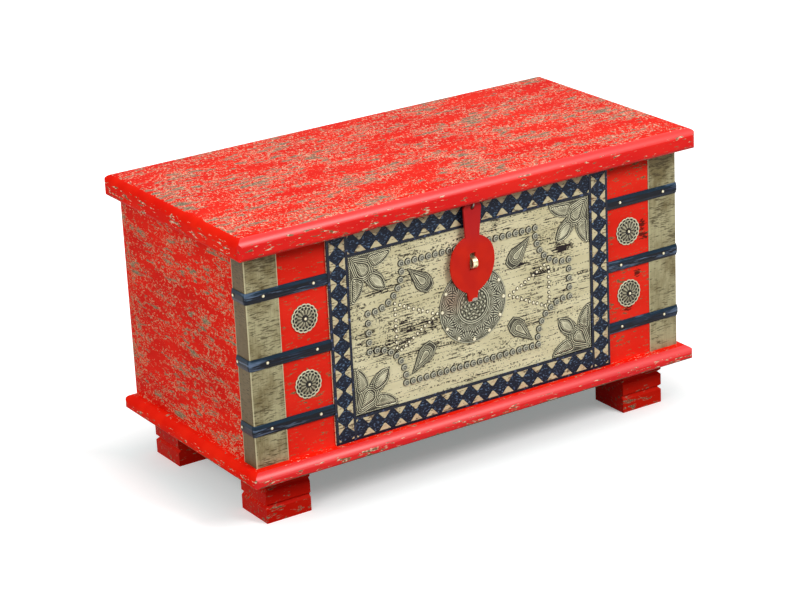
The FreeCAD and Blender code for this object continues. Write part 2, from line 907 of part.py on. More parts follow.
def hinge_gain(center_x):
    """The shallow recess in the back board's top edge that takes the lid's leaf."""
    return block(
        Vector(
            center_x - hinge_length / 2 - gain_clearance,
            hinge_y - knuckle_radius - knuckle_gap - hinge_leaf_width - gain_clearance,
            wall_top - hinge_leaf_thickness - gain_clearance,
        ),
        Vector(
            center_x + hinge_length / 2 + gain_clearance,
            back_y + cut_overrun,
            wall_top + cut_overrun,
        ),
    )


def lid_board():
    low = Vector(-half_length - lid_end_overhang, front_y - lid_front_overhang, wall_top)
    high = Vector(half_length + lid_end_overhang, back_y + lid_rear_overhang, wall_top + lid_thickness)
    board = rounded_board(low, high, lid_bottom_round, lid_top_round)
    return board.cut(eye_legs())


def back_board():
    return long_wall(back_y, -1).cut([hinge_gain(center_x) for center_x in hinge_places])


# Write every piece
save("base_board", base_board())
save("front_board", long_wall(front_y, 1).cut(staple()))
save("back_board", back_board())
save("end_board_right", end_wall())
save("end_board_left", mirrored(end_wall()))
for end, end_name in ((-1, "front"), (1, "back")):
    for side, side_name in ((-1, "left"), (1, "right")):
        save("foot_" + end_name + "_" + side_name, foot(side, end))

save("corner_wrap_right", corner_wrap())
save("corner_wrap_left", mirrored(corner_wrap()))
for level, level_name in zip(strap_levels, ("top", "middle", "bottom")):
    bar = strap(level)
    save("strap_right_" + level_name, bar)
    save("strap_left_" + level_name, mirrored(bar))
save("strap_nails", strap_nails())

save("panel_board", panel_board().cut(staple()))
save("border_right", border_right())
save("border_left", mirrored(border_right()))
save("border_bottom", border_bottom())
save("border_top", border_top())
save("border_beads", border_beads())

rosette_nail_heads = []
for place_name, (rosette_x, rosette_z) in rosette_places().items():
    save("rosette_" + place_name, rosette(rosette_x, rosette_z))
    rosette_nail_heads.append(nail(
        rosette_x, rosette_z, front_y - rosette_thickness - rosette_boss_height,
        small_nail_radius, small_nail_height, small_nail_sides,
    ))
save("rosette_nails", Part.Compound(rosette_nail_heads))

upper_right = corner_plate()
save("corner_plate_top_right", upper_right)
save("corner_plate_top_left", mirrored(upper_right))
save("corner_plate_bottom_right", upside_down(upper_right))
save("corner_plate_bottom_left", mirrored(upside_down(upper_right)))


def across_outline(shape):
    """The same plate mirrored about the nail outline's upright middle line."""
    return shape.mirror(Vector(outline_shift, 0, 0), Vector(1, 0, 0))


upper_kite = kite_plate()
save("kite_plate_top_right", upper_kite)
save("kite_plate_top_left", across_outline(upper_kite))
save("kite_plate_bottom_right", upside_down(upper_kite))
save("kite_plate_bottom_left", across_outline(upside_down(upper_kite)))

save("medallion", medallion())
save("medallion_nails", medallion_nails())
save("dome_nails", dome_nails())
save("hasp_staple", staple())

save("lid_board", lid_board())
save("hasp_eye", hasp_eye())
save("hasp", hasp())
for center_x, side_name in zip(hinge_places, ("left", "right")):
    save("hinge_wall_leaf_" + side_name, wall_leaf(center_x))
    save("hinge_lid_leaf_" + side_name, lid_leaf(center_x))
    save("hinge_pin_" + side_name, hinge_pin(center_x))
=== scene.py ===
import math
from functools import partial

import bmesh
import bpy
import numpy as np
from mathutils import Matrix, Vector


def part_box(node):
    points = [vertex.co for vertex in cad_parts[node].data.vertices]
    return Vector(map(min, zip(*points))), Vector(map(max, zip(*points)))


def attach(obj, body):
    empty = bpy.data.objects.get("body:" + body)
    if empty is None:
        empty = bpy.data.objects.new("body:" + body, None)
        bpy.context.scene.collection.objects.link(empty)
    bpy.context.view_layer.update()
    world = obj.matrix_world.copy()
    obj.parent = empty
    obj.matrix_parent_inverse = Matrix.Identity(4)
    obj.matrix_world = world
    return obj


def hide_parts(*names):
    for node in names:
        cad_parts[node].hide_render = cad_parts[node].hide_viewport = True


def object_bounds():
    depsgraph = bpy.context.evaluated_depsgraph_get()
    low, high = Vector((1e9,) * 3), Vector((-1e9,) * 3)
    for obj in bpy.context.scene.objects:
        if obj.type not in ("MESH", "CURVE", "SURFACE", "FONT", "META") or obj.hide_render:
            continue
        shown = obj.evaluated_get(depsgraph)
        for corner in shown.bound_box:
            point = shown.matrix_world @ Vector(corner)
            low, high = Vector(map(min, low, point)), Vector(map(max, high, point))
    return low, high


# Painted storage chest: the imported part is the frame, and this script gives it its finish,
# the embossed sheet ornaments, the nails and the camera.

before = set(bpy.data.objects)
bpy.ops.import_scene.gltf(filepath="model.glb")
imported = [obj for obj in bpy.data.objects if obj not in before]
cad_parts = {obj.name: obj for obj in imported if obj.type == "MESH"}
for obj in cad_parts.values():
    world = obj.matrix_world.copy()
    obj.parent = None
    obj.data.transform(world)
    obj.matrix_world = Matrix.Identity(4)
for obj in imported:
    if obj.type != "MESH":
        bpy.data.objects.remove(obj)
cadLow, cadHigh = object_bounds()
print("frame loaded")

mm = 0.001


# an sRGB hex colour as linear values; a plain number is a linear grey
def linear(shade):
    if not isinstance(shade, str):
        return [shade, shade, shade, 1.0]
    parts = [int(shade[at:at + 2], 16) / 255 for at in (1, 3, 5)]
    return [part / 12.92 if part <= 0.04045 else ((part + 0.055) / 1.055) ** 2.4 for part in parts] + [1.0]


# Adds a node and gives its output. Inputs come in order or by name, each a number, a hex colour or
# another node's output, and other settings are the node's own. Capitals are a Math operation.
def addNode(tree, kind, *values, output=None, stops=None, **settings):
    if kind.isupper():
        kind, settings["operation"] = "Math", kind
    elif kind == "MixColour":
        kind, settings["data_type"] = "Mix", "RGBA"
    node = tree.nodes.new("ShaderNode" + kind)
    named = [(node.inputs[key], settings.pop(key)) for key in list(settings) if key in node.inputs]
    for key, value in settings.items():
        setattr(node, key, value)
    if stops:
        ramp = node.color_ramp
        ramp.elements[1].position = stops[-1][0]
        ramp.elements[0].position = stops[0][0]
        for level, _ in stops[1:-1]:
            ramp.elements.new(level)
        for element, (_, shade) in zip(ramp.elements, stops):
            element.color = linear(shade)
    sockets = [socket for socket in node.inputs if socket.enabled]
    for socket, value in [*zip(sockets, values), *named]:
        if isinstance(value, bpy.types.NodeSocket):
            tree.links.new(value, socket)
        else:
            socket.default_value = linear(value) if isinstance(value, str) else value
    if isinstance(output, tuple):
        return [node.outputs[key] for key in output]
    if output:
        return node.outputs[output]
    return next((socket for socket in node.outputs if socket.enabled), None)


# an empty material, with what adds its nodes and what gives it cloudy marks of a real size
def startMaterial(name):
    material = bpy.data.materials.new(name)
    material.use_nodes = True
    material.node_tree.nodes.clear()
    add = partial(addNode, material.node_tree)
    place = add("TexCoord", output="Object")

    # the sizes are how long the marks are in mm along x, y and z
    def marks(sizes, **settings):
        stretched = add("Mapping", place, Scale=[1 / (size * mm) for size in sizes])
        return add("TexNoise", stretched, Scale=1.0, **settings)

    return material, add, marks


# the shader of a material; the strength of its relief has no unit and the depth is in mm
def endMaterial(material, add, colour, relief=None, strength=0.0, depth=0.0, gloss=0.5, **shader):
    shader["Specular IOR Level"] = gloss
    if relief is not None:
        shader["Normal"] = add("Bump", strength, depth * mm, Height=relief)
    add("OutputMaterial", add("BsdfPrincipled", colour, **shader))
    return material


# how far along x, y and z a point lies, or how far its surface faces that way
def axes(add, source="Object"):
    return add("SeparateXYZ", add("TexCoord", output=source), output=("X", "Y", "Z"))


# one colour that turns into another as a level rises from low to high
def blend(add, level, low, high, first, second, top=1):
    return add("MixColour", add("ValToRGB", level, stops=((low, 0), (high, top))), first, second)


# 0 in the middle of an ellipse on the front, in mm, and 1 along its rim
def ellipse(add, placeX, placeZ, middleX, middleZ, halfWidth, halfHeight):
    ring = 0.0
    for axis, middle, half in ((placeX, middleX, halfWidth), (placeZ, middleZ, halfHeight)):
        share = add("MULTIPLY", add("SUBTRACT", axis, middle * mm), 1 / (half * mm))
        ring = add("MULTIPLY_ADD", share, share, ring)
    return ring


# Gloss paint on boards, rubbed back so that the pale wood shows in flecks along the grain.
# The flat faces are dulled by the rubbing, the rounded front edges keep their shine.
paintLook = {
    "topRed": "#f6260f",
    "deepRed": "#ea1808",
    # a rosier red on the front faces, a painted reflection
    "roseSheen": "#d23c4e",
    "waxedShare": 0.14,
    "paleFleck": "#eacfae",
    "greyScrape": "#776b58",
    "oliveScrape": "#75603f",
    "scrape": "greyScrape",
    # a dark red laid over a whole surface as painted shade
    "paintedShade": "#3a0c08",
    "bareWood": "#a87a4c",
    "bareWoodDark": "#8a5c34",
    # lengths and widths of the marks along the grain, in mm
    "wormLength": 4.6,
    "wormWidth": 4.0,
    "wormLine": 0.036,
    "scrapeLength": 24.0,
    "scrapeWidth": 6.0,
    "patchLength": 100.0,
    "patchWidth": 26.0,
    "patchDepth": 0.45,
    "chipLength": 17.0,
    "chipWidth": 3.0,
    "chipLevel": 0.6,
    "edgeGloss": 0.6,
    "edgePolish": 0.02,
    "faceGloss": 0.015,
    "frontGloss": 0.1,
    "shine": 0.2,
    "roughness": 0.42,
    "soiled": 0.0,
    "insideBare": False,
    "rounded": False,
    "lowEdge": False,
    # dark knocks: beside which node, how far across and up from its middle, half width and height
    "bruise": "#2e1b14",
    "knocks": (),
}


# more of the wood shows where the fleck level and the scrape level are lower
def rubbedPaint(name, grain, fleckLevel, scrapeLevel, **changes):
    look = {**paintLook, **changes}
    material, add, marks = startMaterial(name)
    placeX, placeY, placeZ = axes(add)
    faceX, faceY, faceZ = axes(add, "Normal")

    def grained(length, width, **settings):
        return marks([length if axis == grain else width for axis in "xyz"], **settings)

    red = blend(add, grained(150, 50, Detail=3.0), 0.35, 0.65, look["topRed"], look["deepRed"])
    patch = grained(look["patchLength"], look["patchWidth"], Detail=3.0, Roughness=0.6)
    patchRise = add("MULTIPLY", add("SUBTRACT", patch, 0.5), look["patchDepth"])
    upright = add("LESS_THAN", add("ABSOLUTE", faceZ), 0.93)
    gloss, rough = look["shine"], look["roughness"]
    if look["rounded"]:
        # painted reflection: the faces turned to the front get a rosier red, standing in for the pale room
        # reflected in the gloss
        frontward = add("LESS_THAN", faceY, -0.25)
        red = add("MixColour", add("MULTIPLY", frontward, look["waxedShare"]), red, look["roseSheen"])
        frontEdge = add("MULTIPLY", add("GREATER_THAN", faceZ, 0.25), frontward)
        frontFace = add("MULTIPLY", add("LESS_THAN", faceY, -0.5), look["frontGloss"])
        edgeGloss = add("MULTIPLY_ADD", frontEdge, look["edgeGloss"], look["faceGloss"])
        gloss = add("MAXIMUM", edgeGloss, frontFace)
        rough = add("MULTIPLY_ADD", frontEdge, -look["edgePolish"], rough)
    # thin winding flecks: the paint has worn through along the crests of the raised grain
    crest = grained(look["wormLength"], look["wormWidth"], Detail=1.0, Roughness=0.5, Distortion=0.6)
    away = add("ABSOLUTE", add("SUBTRACT", crest, 0.5))
    line = add("ValToRGB", away, stops=((look["wormLine"], 1), (look["wormLine"] + 0.02, 0)))
    breaks = grained(look["wormLength"] * 1.3, look["wormWidth"] * 1.1, Detail=2.0, Roughness=0.6)
    breaks = add("ADD", breaks, patchRise)
    fleck = add("MULTIPLY", line, add("ValToRGB", breaks, stops=((fleckLevel, 0), (fleckLevel + 0.03, 1))))
    # broad scrapes, grey or olive, gritty with pale wood
    broad = grained(look["scrapeLength"], look["scrapeWidth"], Detail=5.0, Roughness=0.7, Distortion=0.3)
    broad = add("MULTIPLY_ADD", patchRise, 0.5, broad)
    scrape = add("ValToRGB", broad, stops=((scrapeLevel, 0), (scrapeLevel + 0.035, 1)))
    pale = blend(add, grained(9, 3, Detail=2.0), 0.56, 0.68, look["paleFleck"], look["greyScrape"])
    dull = blend(add, grained(3, 2, Detail=1.0), 0.5, 0.62, look[look["scrape"]], look["paleFleck"], 0.55)
    worn = add("MixColour", scrape, pale, dull)
    bare = add("MAXIMUM", add("MULTIPLY", fleck, 0.92), scrape)
    if look["rounded"]:
        # the turned edges keep their paint better: a few long dashes along each edge, some down to
        # the dirty wood
        bare = add("MULTIPLY", bare, add("SUBTRACT", 1.0, upright))
        length, width = look["chipLength"], look["chipWidth"]
        endFacing = add("GREATER_THAN", add("ABSOLUTE", faceX), 0.45)
        sideDash = marks((length, width, width), Detail=3.0, Roughness=0.6)
        endDash = marks((width, length, width), Detail=3.0, Roughness=0.6)
        dash = add("MULTIPLY_ADD", patchRise, 0.5, add("Mix", endFacing, sideDash, endDash))
        dash = add("ValToRGB", dash, stops=((look["chipLevel"], 0), (look["chipLevel"] + 0.02, 1)))
        chips = add("MULTIPLY", add("MULTIPLY", upright, add("LESS_THAN", faceZ, 0.45)), dash)
        chipped = blend(add, marks((6, 6, 3)), 0.42, 0.52, look["paleFleck"], look["oliveScrape"])
        worn = add("MixColour", chips, worn, chipped)
        bare = add("MAXIMUM", bare, chips)
    colour = add("MixColour", bare, red, worn)
    if look["lowEdge"]:
        # the lower edge has been scuffed to the bare, dirty wood
        under = add("MULTIPLY", add("LESS_THAN", faceZ, -0.25), add("GREATER_THAN", faceZ, -0.97))
        scuffs = add("ValToRGB", marks((40, 40, 12), Detail=4.0), stops=((0.44, 0), (0.52, 0.85)))
        colour = add("MixColour", add("MULTIPLY", under, scuffs), colour, look["oliveScrape"])
    if look["knocks"]:
        knocked = 0.0
        for nodeName, across, rise, halfWidth, halfHeight in look["knocks"]:
            middle = sum(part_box(nodeName), Vector()) / 2 / mm
            ring = ellipse(add, placeX, placeZ, middle.x + across, middle.z + rise, halfWidth, halfHeight)
            knocked = add("MAXIMUM", knocked, add("SUBTRACT", 1.0, ring, use_clamp=True))
        near = add("GREATER_THAN", knocked, 0.02)
        ragged = marks((11, 9, 2.6), Detail=3.0, Roughness=0.65)
        ragged = add("ValToRGB", add("MULTIPLY_ADD", knocked, 0.2, ragged), stops=((0.62, 0), (0.66, 0.85)))
        colour = add("MixColour", add("MULTIPLY", near, ragged), colour, look["bruise"])
    # painted shade: the whole surface is mixed towards dark red, for the feet in the shade of the base
    if look["soiled"]:
        colour = add("MixColour", look["soiled"], colour, look["paintedShade"])
    rough = add("MULTIPLY_ADD", bare, 0.2, rough)
    if look["insideBare"]:
        # inside the box the boards are left as sawn and planed wood
        within, slack = 1.0, 0.3 * mm
        for axis, low, high in (
            (placeX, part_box("end_board_left")[1].x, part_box("end_board_right")[0].x),
            (placeY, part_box("front_board")[1].y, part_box("back_board")[0].y),
            (placeZ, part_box("base_board")[1].z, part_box("lid_board")[0].z),
        ):
            within = add("MULTIPLY", within, add("GREATER_THAN", axis, low - slack))
            within = add("MULTIPLY", within, add("LESS_THAN", axis, high + slack))
        rings = grained(260, 7, Detail=4.0, Distortion=0.6)
        timber = add("ValToRGB", rings, stops=((0.35, look["bareWoodDark"]), (0.65, look["bareWood"])))
        colour = add("MixColour", within, colour, timber)
        rough = add("MAXIMUM", rough, add("MULTIPLY", within, 0.7))
    relief = add("SUBTRACT", add("MULTIPLY", grained(40, 2.5, Detail=3.0), 0.25), bare)
    return endMaterial(material, add, colour, relief, 0.25, 0.4, gloss, Roughness=rough)


# Matt cream paint brushed over dark stained wood. It has broken along the grain, in hairlines,
# rows of pinholes and, where hands and goods have rubbed, in dark ragged patches.
creamLook = {
    "cream": "#f0e7be",
    "creamShade": "#d9cfa4",
    "scratch": "#1c1313",
    "stain": "#7a6748",
    "strokeLength": 26.0,
    "strokeWidth": 1.9,
    "rowLength": 110.0,
    "rowWidth": 2.2,
    # real pinholes are finer; they are drawn as coarse as they need to show
    "pinhole": 2.6,
    "roughness": 0.62,
    # places where the wear is heaviest: x, z, half width, half height, strength
    "wornPlaces": (
        (165, 307, 25, 11, 0.24),
        (120, 275, 50, 5, 0.16),
        (196, 259, 20, 5, 0.18),
        (-110, 240, 76, 24, 0.10),
        (-150, 222, 50, 14, 0.08),
        (-190, 254, 24, 6, 0.14),
        (-158, 314, 34, 7, 0.12),
        (80, 298, 24, 7, 0.12),
        (-90, 206, 60, 7, 0.10),
        (0, 142, 46, 6, 0.10),
        (110, 200, 30, 6, 0.08),
        (150, 224, 42, 22, 0.07),
    ),
}


def wornCream(name):
    look = creamLook
    material, add, marks = startMaterial(name)
    placeX, _, placeZ = axes(add)
    base = blend(add, marks((90, 30, 30), Detail=3.0), 0.35, 0.7, look["cream"], look["creamShade"])
    patch = marks((80, 30, 26), Detail=2.0, Roughness=0.6)
    wear = add("MULTIPLY", add("SUBTRACT", patch, 0.5), 0.4)
    for *spot, strength in look["wornPlaces"]:
        here = add("SUBTRACT", 1.0, ellipse(add, placeX, placeZ, *spot), use_clamp=True)
        wear = add("MULTIPLY_ADD", here, strength, wear)
    # short broken strokes
    strokes = marks((look["strokeLength"], 8, look["strokeWidth"]), Detail=3.0, Roughness=0.6)
    gaps = marks((look["pinhole"], 3, look["pinhole"]), Detail=1.0)
    torn = add("MULTIPLY_ADD", add("SUBTRACT", gaps, 0.5), 0.16, add("ADD", strokes, wear))
    strokeMarks = add("ValToRGB", torn, stops=((0.614, 0), (0.628, 1)))
    # rows of pinholes: faint lines along the grain, broken into points
    rows = marks((look["rowLength"], 20, look["rowWidth"]), Detail=1.0)
    rows = add("ValToRGB", add("MULTIPLY_ADD", wear, 0.7, rows), stops=((0.52, 0), (0.58, 1)))
    pinholes = add("MULTIPLY", rows, add("ValToRGB", gaps, stops=((0.555, 0), (0.585, 1))))
    # a few hairlines
    hairs = add("MULTIPLY_ADD", wear, 0.3, marks((70, 20, 1.5), Detail=1.0))
    hairs = add("ValToRGB", hairs, stops=((0.71, 0), (0.73, 0.8)))
    gone = add("MAXIMUM", add("MAXIMUM", strokeMarks, hairs), add("MULTIPLY", pinholes, 0.9))
    stained = blend(add, torn, 0.57, 0.64, base, look["stain"], 0.2)
    colour = add("MixColour", gone, stained, look["scratch"])
    relief = add("SUBTRACT", 1.0, gone)
    return endMaterial(material, add, colour, relief, 0.3, 0.4, 0.15, Roughness=look["roughness"])


# Carved wood: a dark painted ground with a pitted surface, and cream paint on the raised
# triangles, rubbed through to tan wood in places. The two are told apart by depth.
borderLook = {
    "ground": "#0d1424",
    "groundLight": "#66809f",
    "cream": "#d9cda4",
    "tan": "#c2a07c",
    "dark": "#4d3328",
    "pitSize": 2.9,
    "roughness": 0.5,
}


def carvedBorder(name):
    look = borderLook
    material, add, marks = startMaterial(name)
    pits = marks([look["pitSize"] * stretch for stretch in (1.5, 1.0, 0.85)], Detail=2.0, Distortion=0.5)
    ground = blend(add, pits, 0.56, 0.68, look["ground"], look["groundLight"], 0.9)
    rubbed = marks((14, 10, 9), Detail=4.0, Roughness=0.65)
    tooth = blend(add, rubbed, 0.5, 0.62, look["cream"], look["tan"], 0.55)
    tooth = blend(add, marks((8, 4, 2.2), Detail=2.0), 0.57, 0.63, tooth, look["dark"], 0.85)
    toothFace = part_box("border_left")[0].y + 0.25 * mm
    edge = add("MULTIPLY", add("SUBTRACT", marks((3, 3, 3)), 0.5), 0.3 * mm)
    raised = add("LESS_THAN", add("ADD", axes(add)[1], edge), toothFace)
    colour = add("MixColour", raised, ground, tooth)
    return endMaterial(material, add, colour, pits, 0.5, 0.5, 0.15, Roughness=look["roughness"])


# Satin paint on the thin turned beads along the border: near black, with blue grey chips
def beadPaint(name):
    material, add, marks = startMaterial(name)
    colour = blend(add, marks((6, 3, 6), Detail=3.0), 0.6, 0.68, "#0e1424", "#4f5c7c")
    return endMaterial(material, add, colour, gloss=0.2, Roughness=0.42)


# Sheet brass, aged to khaki and brushed by hand, which leaves short dark strokes across the sheet.
# The sheet is darker towards the top, under the lid; its end leaf is darkened as painted shade, and the
# fold and the long edges carry a painted highlight.
wrapLook = {
    "khaki": "#a8a17c",
    "khakiDark": "#756946",
    "scratch": "#3e341f",
    # a painted highlight along the fold and the long edges
    "edge": "#cfc7a2",
    # painted shade for the leaf that faces the chest's end
    "endLeafShade": "#564222",
    # real brush marks are finer than this; they are drawn as coarse as they need to show
    "strokeLength": 10.0,
    "strokeWidth": 1.5,
    "darkerTop": 75.0,
}


def agedSheet(name):
    look = wrapLook
    material, add, marks = startMaterial(name)
    low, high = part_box("corner_wrap_right")
    placeX, placeY, placeZ = axes(add)
    # the sheet turns darker towards the top, under the lid
    towardTop = add("MapRange", placeZ, high.z - look["darkerTop"] * mm, high.z, 0.0, 0.22)
    cloud = add("ADD", marks((30, 30, 46), Detail=4.0, Roughness=0.65), towardTop)
    colour = blend(add, cloud, 0.42, 0.68, look["khaki"], look["khakiDark"])
    # painted shade: the leaf that faces the chest's end is mixed darker
    endLeafShade = add("GREATER_THAN", add("ABSOLUTE", axes(add, "Normal")[0]), 0.8)
    colour = add("MixColour", add("MULTIPLY", endLeafShade, 0.85), colour, look["endLeafShade"])
    length = look["strokeLength"]
    strokes = marks((length, length, look["strokeWidth"]), Detail=3.0, Distortion=0.3)
    patch = add("SUBTRACT", marks((26, 26, 40), Detail=2.0), 0.5)
    raised = add("MULTIPLY_ADD", towardTop, 0.35, add("MULTIPLY_ADD", patch, 0.3, strokes))
    colour = blend(add, raised, 0.54, 0.65, colour, look["scratch"], 0.8)
    colour = blend(add, marks((1.7, 1.7, 34), Detail=2.0), 0.45, 0.75, colour, look["scratch"], 0.24)
    # painted highlight: pale lines along the front edge, the back edge and the fold
    outward = add("ABSOLUTE", placeX)
    frontEdge = add("LESS_THAN", outward, low.x + 1.3 * mm)
    backEdge = add("GREATER_THAN", placeY, high.y - 1.2 * mm)
    fold = add("GREATER_THAN", outward, high.x - 2.0 * mm)
    fold = add("MULTIPLY", fold, add("LESS_THAN", placeY, low.y + 1.4 * mm))
    edgeHighlight = add("MAXIMUM", add("MAXIMUM", frontEdge, backEdge), fold)
    colour = add("MixColour", add("MULTIPLY", edgeHighlight, 0.6), colour, look["edge"])
    return endMaterial(material, add, colour, strokes, 0.2, 0.3, 0.2, Metallic=0.25, Roughness=0.5)


# Embossed sheet and turned heads: the recesses are dark, partly with patina and partly as painted shade,
# and the ridges are bright, partly rubbed by handling and partly as painted highlight. The relief attribute
# of the mesh says which is which.
def embossedMetal(name, recess, field, ridge, roughness=0.42, metallic=0.55, rust=None):
    material, add, marks = startMaterial(name)
    cloud = add("SUBTRACT", marks((12, 12, 12), Detail=3.0), 0.5)
    level = add("MULTIPLY_ADD", cloud, 0.35, add("Attribute", attribute_name="relief", output="Fac"))
    colour = add("ValToRGB", level, stops=((0.15, recess), (0.5, field), (0.85, ridge)))
    if rust:
        # a tarnished spot: middle, radius and colour
        spot, reach, shade = rust
        far = add("VectorMath", add("TexCoord", output="Object"), spot, operation="DISTANCE")
        share = add("MapRange", far, reach, reach * 0.2, 0.0, 0.55)
        colour = add("MixColour", add("MULTIPLY", share, level), colour, shade)
    return endMaterial(material, add, colour, Metallic=metallic, Roughness=roughness)


# Forged and rolled metal without relief: faint clouds where it has dulled
def plainMetal(name, light, dark, roughness, metallic):
    material, add, marks = startMaterial(name)
    cloud = add("ValToRGB", marks((6, 6, 6), Detail=3.0), stops=((0.4, 0), (0.65, 1)))
    colour = add("MixColour", cloud, light, dark)
    return endMaterial(material, add, colour, cloud, 0.1, 0.2, Metallic=metallic, Roughness=roughness)


# Flat iron with a dark lacquer, brushed along it: nearly black, with blue grey streaks, partly wear and
# partly painted highlight
strapLook = {
    "lacquer": "#060913",
    "wear": "#1d2a40",
    # pale blue grey of the rubbed streaks, partly wear and partly painted highlight near the fold
    "rubbed": "#6e839e",
    # teal painted highlight on the top bevel
    "topBevelHighlight": "#1f4258",
    "foldReach": 30.0,
    "streakLength": 40.0,
    # brush hairs are finer; they are drawn as coarse as they need to show
    "streakWidth": 2.2,
}


def lacqueredIron(name):
    look = strapLook
    material, add, marks = startMaterial(name)
    placeX, _, _ = axes(add)
    _, faceY, faceZ = axes(add, "Normal")
    length = look["streakLength"]
    streaks = marks((length, length, look["streakWidth"]), Detail=3.0)
    patch = add("SUBTRACT", marks((34, 34, 14), Detail=2.0), 0.5)
    level = add("MULTIPLY_ADD", patch, 0.6, streaks)
    colour = blend(add, level, 0.5, 0.74, look["lacquer"], look["wear"])
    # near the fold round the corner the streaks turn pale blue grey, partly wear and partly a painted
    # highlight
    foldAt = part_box("strap_right_top")[1].x
    nearFold = add("MapRange", add("ABSOLUTE", placeX), foldAt - look["foldReach"] * mm, foldAt, 0.0, 0.12)
    nearFold = add("MULTIPLY", nearFold, add("LESS_THAN", faceY, -0.5))
    rubbed = add("ADD", marks((70, 70, 9), Detail=4.0, Roughness=0.65), nearFold)
    rubbed = add("MULTIPLY_ADD", streaks, 0.3, rubbed)
    colour = blend(add, rubbed, 0.72, 0.84, colour, look["rubbed"], 0.75)
    # painted highlight: the upward faces of the top bevel are tinted teal
    topBevelHighlight = add("MULTIPLY", add("GREATER_THAN", faceZ, 0.25), 0.35)
    colour = add("MixColour", topBevelHighlight, colour, look["topBevelHighlight"])
    return endMaterial(material, add, colour, streaks, 0.15, 0.3, 0.14, Metallic=0.05, Roughness=0.35)


# Satin red paint on iron, brushed on, with a pale spot near the tip
haspLook = {
    "red": "#da2610",
    "redDark": "#cf2012",
    "paleTipSpot": "#b9b4a6",
    # the neck is more crimson; the change starts and ends this far below the plate's top
    "neckRed": "#b01c2a",
    "neckFrom": 66.0,
    "neckTo": 44.0,
    # the pale spot: across from the middle, up from the tip, half width and half height
    "paleSpot": (3.0, 1.5, 5.0, 3.0),
}


def brushedRed(name):
    look = haspLook
    material, add, marks = startMaterial(name)
    low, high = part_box("hasp")
    placeX, _, placeZ = axes(add)
    strokes = marks((26, 26, 34), Detail=2.0)
    red = blend(add, strokes, 0.4, 0.62, look["red"], look["redDark"])
    neck = add("MapRange", placeZ, high.z - look["neckFrom"] * mm, high.z - look["neckTo"] * mm, 0.0, 0.5)
    red = add("MixColour", neck, red, look["neckRed"])
    across, rise, *half = look["paleSpot"]
    ring = ellipse(add, placeX, placeZ, (low.x + high.x) / 2 / mm + across, low.z / mm + rise, *half)
    ring = add("ADD", ring, add("SUBTRACT", marks((3, 3, 3)), 0.5))
    colour = blend(add, ring, 0.8, 1.0, look["paleTipSpot"], red)
    return endMaterial(material, add, colour, strokes, 0.05, 0.2, 0.12, Roughness=0.42)


lidPaint = rubbedPaint(
    "rubbedGlossPaintLid", "x", 0.47, 0.562, wormLength=3.9, wormWidth=6.4, wormLine=0.03,
    scrapeLength=26.0, scrapeWidth=8.5, patchWidth=44.0, patchDepth=0.9, insideBare=True, rounded=True,
)
# the end and back boards differ only in the way that their grain runs
wallLook = {
    "topRed": "#f2210c",
    "deepRed": "#dd1406",
    "paleFleck": "#d8bd92",
    "greyScrape": "#77735c",
    "wormLength": 5.4,
    "wormWidth": 3.6,
    "wormLine": 0.027,
    "scrapeLength": 20.0,
    "scrapeWidth": 5.0,
    "patchLength": 70.0,
    "patchWidth": 20.0,
    "patchDepth": 0.9,
    "shine": 0.015,
    "insideBare": True,
}
endPaint = rubbedPaint("rubbedGlossPaintEnds", "y", 0.505, 0.585, **wallLook)
backPaint = rubbedPaint("rubbedGlossPaintBack", "x", 0.505, 0.585, **wallLook)
frontPaint = rubbedPaint(
    "rubbedGlossPaintFront", "x", 0.8, 0.59, topRed="#fa3424", deepRed="#ea281a", scrape="oliveScrape",
    scrapeLength=13.0, scrapeWidth=3.6, paleFleck="#b39a6e", insideBare=True, shine=0.03,
    knocks=(
        ("rosette_right_upper", 26, 7, 13, 8), ("rosette_right_upper", 29, -12, 10, 14),
        ("rosette_right_lower", 17, 30, 8, 12), ("rosette_right_lower", -3, -25, 16, 4),
    ),
)
# the base's front faces carry more of the painted rosy reflection
basePaint = rubbedPaint(
    "rubbedGlossPaintBase", "x", 0.63, 0.60, scrape="oliveScrape", chipLevel=0.585, waxedShare=0.28,
    insideBare=True, rounded=True, lowEdge=True,
)
# the feet are darkened with painted shade, as they stand in the shade of the base
footPaint = rubbedPaint(
    "rubbedGlossPaintFeet", "x", 0.8, 0.585, scrape="oliveScrape", soiled=0.31, shine=0.03,
)
# white brass pressed over a die: soft grey green in the field, silvery ridges
plateMetal = embossedMetal("embossedWhiteBrass", "#100e08", "#575340", "#bdb99b")
# pierced and chased brass: near black pockets, which are painted shadow, and pale straw petals and rims,
# partly painted highlight
rosetteBrass = embossedMetal("piercedAgedBrass", "#0c0a06", "#625c47", "#c2bea1")
# the medallion's sheet has aged darker, with a rusty stain at its upper left
medallionLow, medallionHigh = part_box("medallion")
rustSpot = (medallionLow.x + 22 * mm, medallionLow.y, (medallionLow.z + medallionHigh.z) / 2 + 16 * mm)
medallionMetal = embossedMetal(
    "embossedDarkBrass", "#1a1810", "#5a5845", "#b2b098", rust=(rustSpot, 30 * mm, "#7c3d22"),
)
# cast pewter, dull, with a dark ring round each dome as painted shadow, and drawn brass with small
# highlights
pewter = embossedMetal("dullPewterNail", "#0c0c08", "#504f42", "#a3a18d", 0.42, 0.4)
brightBrass = embossedMetal("polishedBrassNail", "#241e12", "#9c9270", "#dcd5b8", 0.3, 0.5)
hingeSteel = plainMetal("dullRolledSteel", "#8d8a83", "#6e6b63", 0.45, 0.85)

